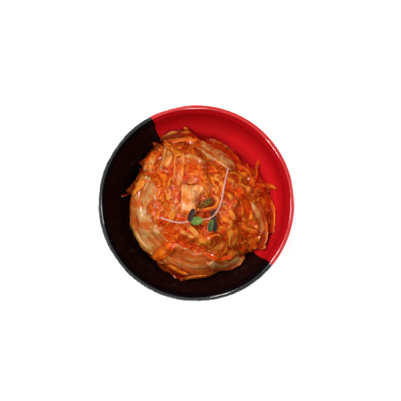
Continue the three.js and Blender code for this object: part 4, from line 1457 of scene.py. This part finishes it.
@dataclass
class Sprout:
    """A microgreen sprout lying on the heap: a tapering pink stem, stalks and seed leaves."""

    name: str
    node: str
    pile: Pile
    stem: Points
    arch: float
    leaves: Sequence[SeedLeaf]
    stalks: Sequence[Points] = ()
    radius: float = 0.48
    gap: float = 0.1
    leaf_gap: float = 0.3
    leaf_half: float = 0.24  # half a seed leaf's greatest thickness
    reach: int = 7  # samples each way over which the stem's height is evened

    def resting_height(self, x: np.ndarray, y: np.ndarray) -> np.ndarray:
        """Return the heap's height near each place."""
        return self.pile.sample(self.pile.spread(1), x, y)

    def tube(self, line: np.ndarray, radii: np.ndarray,
             sides: int = 12) -> tuple[np.ndarray, np.ndarray, np.ndarray]:
        """Return the points, faces and along values of a closed tube.

        Args:
            line: Its centre line.
            radii: Its radius at each point of the line.
            sides: Points round it.

        Returns:
            Points, faces and each point's share of the length.
        """
        heading = np.gradient(line, axis=0)
        heading /= np.linalg.norm(heading, axis=1, keepdims=True)
        side = np.cross(heading, [0.0, 0.0, 1.0])
        side /= np.linalg.norm(side, axis=1, keepdims=True)
        up = np.cross(side, heading)
        angle = np.linspace(0, 2 * math.pi, sides, endpoint=False)[None, :, None]
        around = side[:, None] * np.cos(angle) + up[:, None] * np.sin(angle)
        rings = line[:, None] + around * radii[:, None, None]
        at = np.arange(len(line) * sides).reshape(len(line), sides)
        ends = [fan_faces(at.size, at[0]), fan_faces(at.size + 1, at[-1], flipped=True)]
        points = np.vstack([rings.reshape(-1, 3), line[:1], line[-1:]])
        share = np.repeat(np.linspace(0, 1, len(line)), sides)
        return points, np.vstack([ring_faces(at), *ends]), np.concatenate([share, [0, 1]])

    def build(self, finishes: dict[str, bpy.types.Material]) -> list[bpy.types.Object]:
        """Make the sprout's pieces.

        Args:
            finishes: Materials by name: stem, and each seed leaf's.

        Returns:
            The stem and the seed leaves.
        """
        line = smooth_line(self.stem, 60)
        clear = self.resting_height(line[:, 0], line[:, 1]) + self.radius + self.gap
        highest = [clear[max(0, k - self.reach):k + self.reach + 1].max() for k in range(len(clear))]
        span = 2 * self.reach + 1
        z = np.convolve(np.pad(highest, self.reach, mode="edge"), np.ones(span) / span, mode="valid")
        share = np.linspace(0, 1, len(z))
        z = z + self.arch * np.sin(math.pi * share)
        fork = max([z[-1]] + [self.leaf_need(leaf) for leaf in self.leaves])
        z = z + (fork - z[-1]) * share ** 3
        stem = np.column_stack([line, z])
        radii = self.radius * (0.85 + 0.25 * share)
        parts = [self.tube(stem, radii)]
        for path in self.stalks:
            points = [tuple(stem[-1])] + [(x, y, fork + 0.1) for x, y in path]
            stalk = smooth_line(points, 20)
            parts.append(self.tube(stalk, np.linspace(self.radius, self.radius * 0.7, 20)))
        total, points, faces, along = 0, [], [], []
        for part_points, part_faces, part_along in parts:
            points.append(part_points)
            faces.append(part_faces + total)
            along.append(part_along if total == 0 else np.ones_like(part_along))
            total += len(part_points)
        held = {"along": np.concatenate(along), "middle": np.zeros(total)}
        made = [mesh_object(f"{self.name}_stem", np.vstack(points) * MM, np.vstack(faces), held,
                            finishes["stem"])]
        for number, leaf in enumerate(self.leaves, start=1):
            made.append(self.leaf_object(leaf, fork, f"{self.name}_leaf_{number}", finishes[leaf.finish]))
        for piece in made:
            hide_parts(self.node)
            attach(piece, "root")
        return made

    def leaf_surface(self, leaf: SeedLeaf, height: float, rows: int = 22, columns: int = 15) -> np.ndarray:
        """Return a seed leaf's middle surface, with its root at a height."""
        s = np.linspace(0, 1, rows)[:, None]
        v = np.linspace(-1, 1, columns)[None, :]
        along = np.array(leaf.tip) - np.array(leaf.root)
        length = float(np.linalg.norm(along))
        along = along / length
        bulge = 0.16 + 0.84 * np.sin(math.pi * (0.05 + 0.88 * s)) ** 0.55
        bulge = bulge * np.clip((1.02 - s) / 0.12, 0, 1) ** 0.5
        side = leaf.width / 2 * bulge * v
        x = leaf.root[0] + along[0] * length * s - along[1] * side
        y = leaf.root[1] + along[1] * length * s + along[0] * side
        bend = leaf.cup * np.abs(v) ** 1.6 + leaf.tilt * v
        z = height + leaf.rise - leaf.drop * s ** 1.5 + bulge * bend - 0.15 * np.exp(-(v / 0.12) ** 2)
        return np.stack([x, y, z], axis=-1)

    def leaf_need(self, leaf: SeedLeaf) -> float:
        """Return the lowest height of a seed leaf's root that keeps it clear of the heap."""
        surface = self.leaf_surface(leaf, 0.0)
        under = self.resting_height(surface[..., 0], surface[..., 1])
        return float((under - surface[..., 2]).max()) + self.leaf_gap

    def leaf_object(self, leaf: SeedLeaf, height: float, name: str,
                    material: bpy.types.Material) -> bpy.types.Object:
        """Make one seed leaf."""
        surface = self.leaf_surface(leaf, height)
        rows, columns = surface.shape[:2]
        v = np.abs(np.linspace(-1, 1, columns))[None, :, None]
        half = surface_normals(surface) * (self.leaf_half * (1 - 0.6 * v ** 4))
        points = np.vstack([(surface + half).reshape(-1, 3), (surface - half).reshape(-1, 3)]) * MM
        along = np.repeat(np.linspace(0, 1, rows), columns)
        middle = np.tile(np.exp(-(np.linspace(-1, 1, columns) / 0.1) ** 2), rows)
        held = {"along": np.tile(along, 2), "middle": np.tile(middle, 2)}
        return mesh_object(name, points, shell_faces(rows, columns), held, material)


# ---------------------------------------------------------------------------- studio


@dataclass(frozen=True)
class Softbox:
    """A square light aimed at the bowl. Sizes are in metres."""

    name: str
    place: tuple[float, float, float]
    size: float
    radiance: float

    def build(self, aim: Vector) -> None:
        """Add the light.

        Args:
            aim: The point that it faces.
        """
        light = bpy.data.lights.new(self.name, "AREA")
        light.size = self.size
        light.energy = self.radiance * math.pi * self.size ** 2
        made = bpy.data.objects.new(self.name, light)
        made.location = self.place
        made.rotation_euler = (aim - Vector(self.place)).to_track_quat("-Z", "Y").to_euler()
        bpy.context.scene.collection.objects.link(made)


SOFTBOXES: tuple[Softbox, ...] = (
    Softbox("overhead_light", (-0.02, -0.02, 1.3), 0.5, 0.3),
    Softbox("main_light", (-0.5, 0.4, 0.9), 0.14, 60.0),
    Softbox("far_light", (-0.12, 0.62, 0.9), 0.14, 48.0),
    Softbox("side_light", (-0.64, 0.08, 0.85), 0.14, 46.0),
    Softbox("right_light", (0.6, 0.1, 0.8), 0.12, 38.0),
    Softbox("near_light", (0.05, -0.55, 0.85), 0.12, 36.0),
    Softbox("left_light", (-0.5, -0.35, 0.85), 0.16, 32.0),
)


@dataclass
class Studio:
    """The camera, the lights and the tabletop. Sizes are in metres."""

    rim_height: float
    camera_offset: tuple[float, float] = (-15 * MM, -13 * MM)
    camera_distance: float = 380 * MM
    aim: tuple[float, float] = (2.1 * MM, 1.3 * MM)
    lens: float = 58.5  # in millimetres, as is the sensor
    sensor: float = 36.0
    nearest: float = 10 * MM  # that the camera sees
    sky: float = 0.08
    table_half: float = 1.5

    def place_camera(self) -> None:
        """Put the camera over the bowl, looking nearly straight down."""
        camera = bpy.data.objects.new("camera", bpy.data.cameras.new("camera"))
        bpy.context.scene.collection.objects.link(camera)
        where = Vector((*self.camera_offset, self.rim_height + self.camera_distance))
        forward = (Vector((*self.aim, self.rim_height)) - where).normalized()
        right = forward.cross(Vector((0, 1, 0))).normalized()
        up = right.cross(forward)
        camera.matrix_world = Matrix.Translation(where) @ Matrix((right, up, -forward)).transposed().to_4x4()
        camera.data.sensor_width = self.sensor
        camera.data.lens = self.lens
        camera.data.clip_start = self.nearest
        bpy.context.scene.camera = camera

    def light_room(self) -> None:
        """Add an even bright room and the softboxes."""
        world = bpy.data.worlds.new("room")
        world.use_nodes = True
        background = world.node_tree.nodes["Background"].inputs
        background["Color"].default_value = (1.0, 1.0, 1.0, 1.0)
        background["Strength"].default_value = self.sky
        bpy.context.scene.world = world
        for softbox in SOFTBOXES:
            softbox.build(Vector((0, 0, self.rim_height)))
        bpy.context.scene.view_settings.view_transform = "Standard"

    def lay_table(self) -> None:
        """Add the tabletop."""
        half = self.table_half
        points = np.array([[-half, -half, 0], [half, -half, 0], [half, half, 0], [-half, half, 0]], float)
        table = mesh_object("table", points, np.array([[0, 1, 2, 3]]), {}, FloorFinish().build())

    def build(self) -> None:
        """Set up the studio."""
        self.place_camera()
        self.light_room()
        self.lay_table()


# ---------------------------------------------------------------------------- the whole


def report(pieces: Sequence[bpy.types.Object]) -> None:
    """Log each piece's name and triangle count."""
    for piece in pieces:
        triangles = sum(len(face.vertices) - 2 for face in piece.data.polygons)
        LOG.info("%s: %d triangles", piece.name, triangles)


def main() -> None:
    """Build the dish and the studio."""
    logging.basicConfig(level=logging.INFO, format="%(message)s", force=True)
    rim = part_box("bowl")[1]
    Studio(rim_height=rim[2]).build()
    report([Bowl(lip_radius=rim[0], height=rim[2]).build()])
    kimchi = Kimchi()
    report(kimchi.build())
    pink = SproutFinish("sprout_stem", srgb(226, 166, 158), srgb(196, 140, 112), srgb(240, 200, 190), 0.0)
    green = SproutFinish("sprout_green_leaf", srgb(118, 144, 48), srgb(66, 100, 28), srgb(158, 188, 92))
    shady = SproutFinish("sprout_deep_leaf", srgb(82, 98, 36), srgb(42, 64, 26), srgb(104, 132, 62))
    dark = SproutFinish("sprout_dark_leaf", srgb(74, 44, 36), srgb(40, 27, 27), srgb(96, 76, 64), 0.3, 1.2)
    finishes = {"stem": pink.build(), "green": green.build(), "deep": shady.build(), "dark": dark.build()}
    long_sprout = Sprout(
        "long_sprout", "sprout_long", kimchi.pile,
        ((18.2, 20.2), (16.7, 14.7), (14.9, 6.8), (13.6, 0.3), (11.8, -4.3), (9.6, -7.6)), 1.0,
        (
            SeedLeaf((8.6, -5), (10.3, -17.0), 3.1, "dark", rise=-0.4, drop=0.6, tilt=0.4),
            SeedLeaf((8.5, -9.8), (7.0, -16.9), 3.4, "deep", rise=0.2, drop=0.3, tilt=-0.3),
            SeedLeaf((2.8, -10.1), (-3.8, -11.2), 4.7, "green", rise=0.2),
        ),
        stalks=(((6.6, -9.3), (2.6, -10.1)),),
    )
    short_sprout = Sprout(
        "short_sprout", "sprout_short", kimchi.pile,
        ((-21, -8.6), (-17.8, -9.9), (-12.6, -11.3), (-8, -11.6), (-4.8, -11)), 0.3,
        (SeedLeaf((-4.8, -11), (-2.1, -3.7), 3.1, "dark"),),
    )
    report(long_sprout.build(finishes))
    report(short_sprout.build(finishes))


if __name__ == "__main__":
    main()
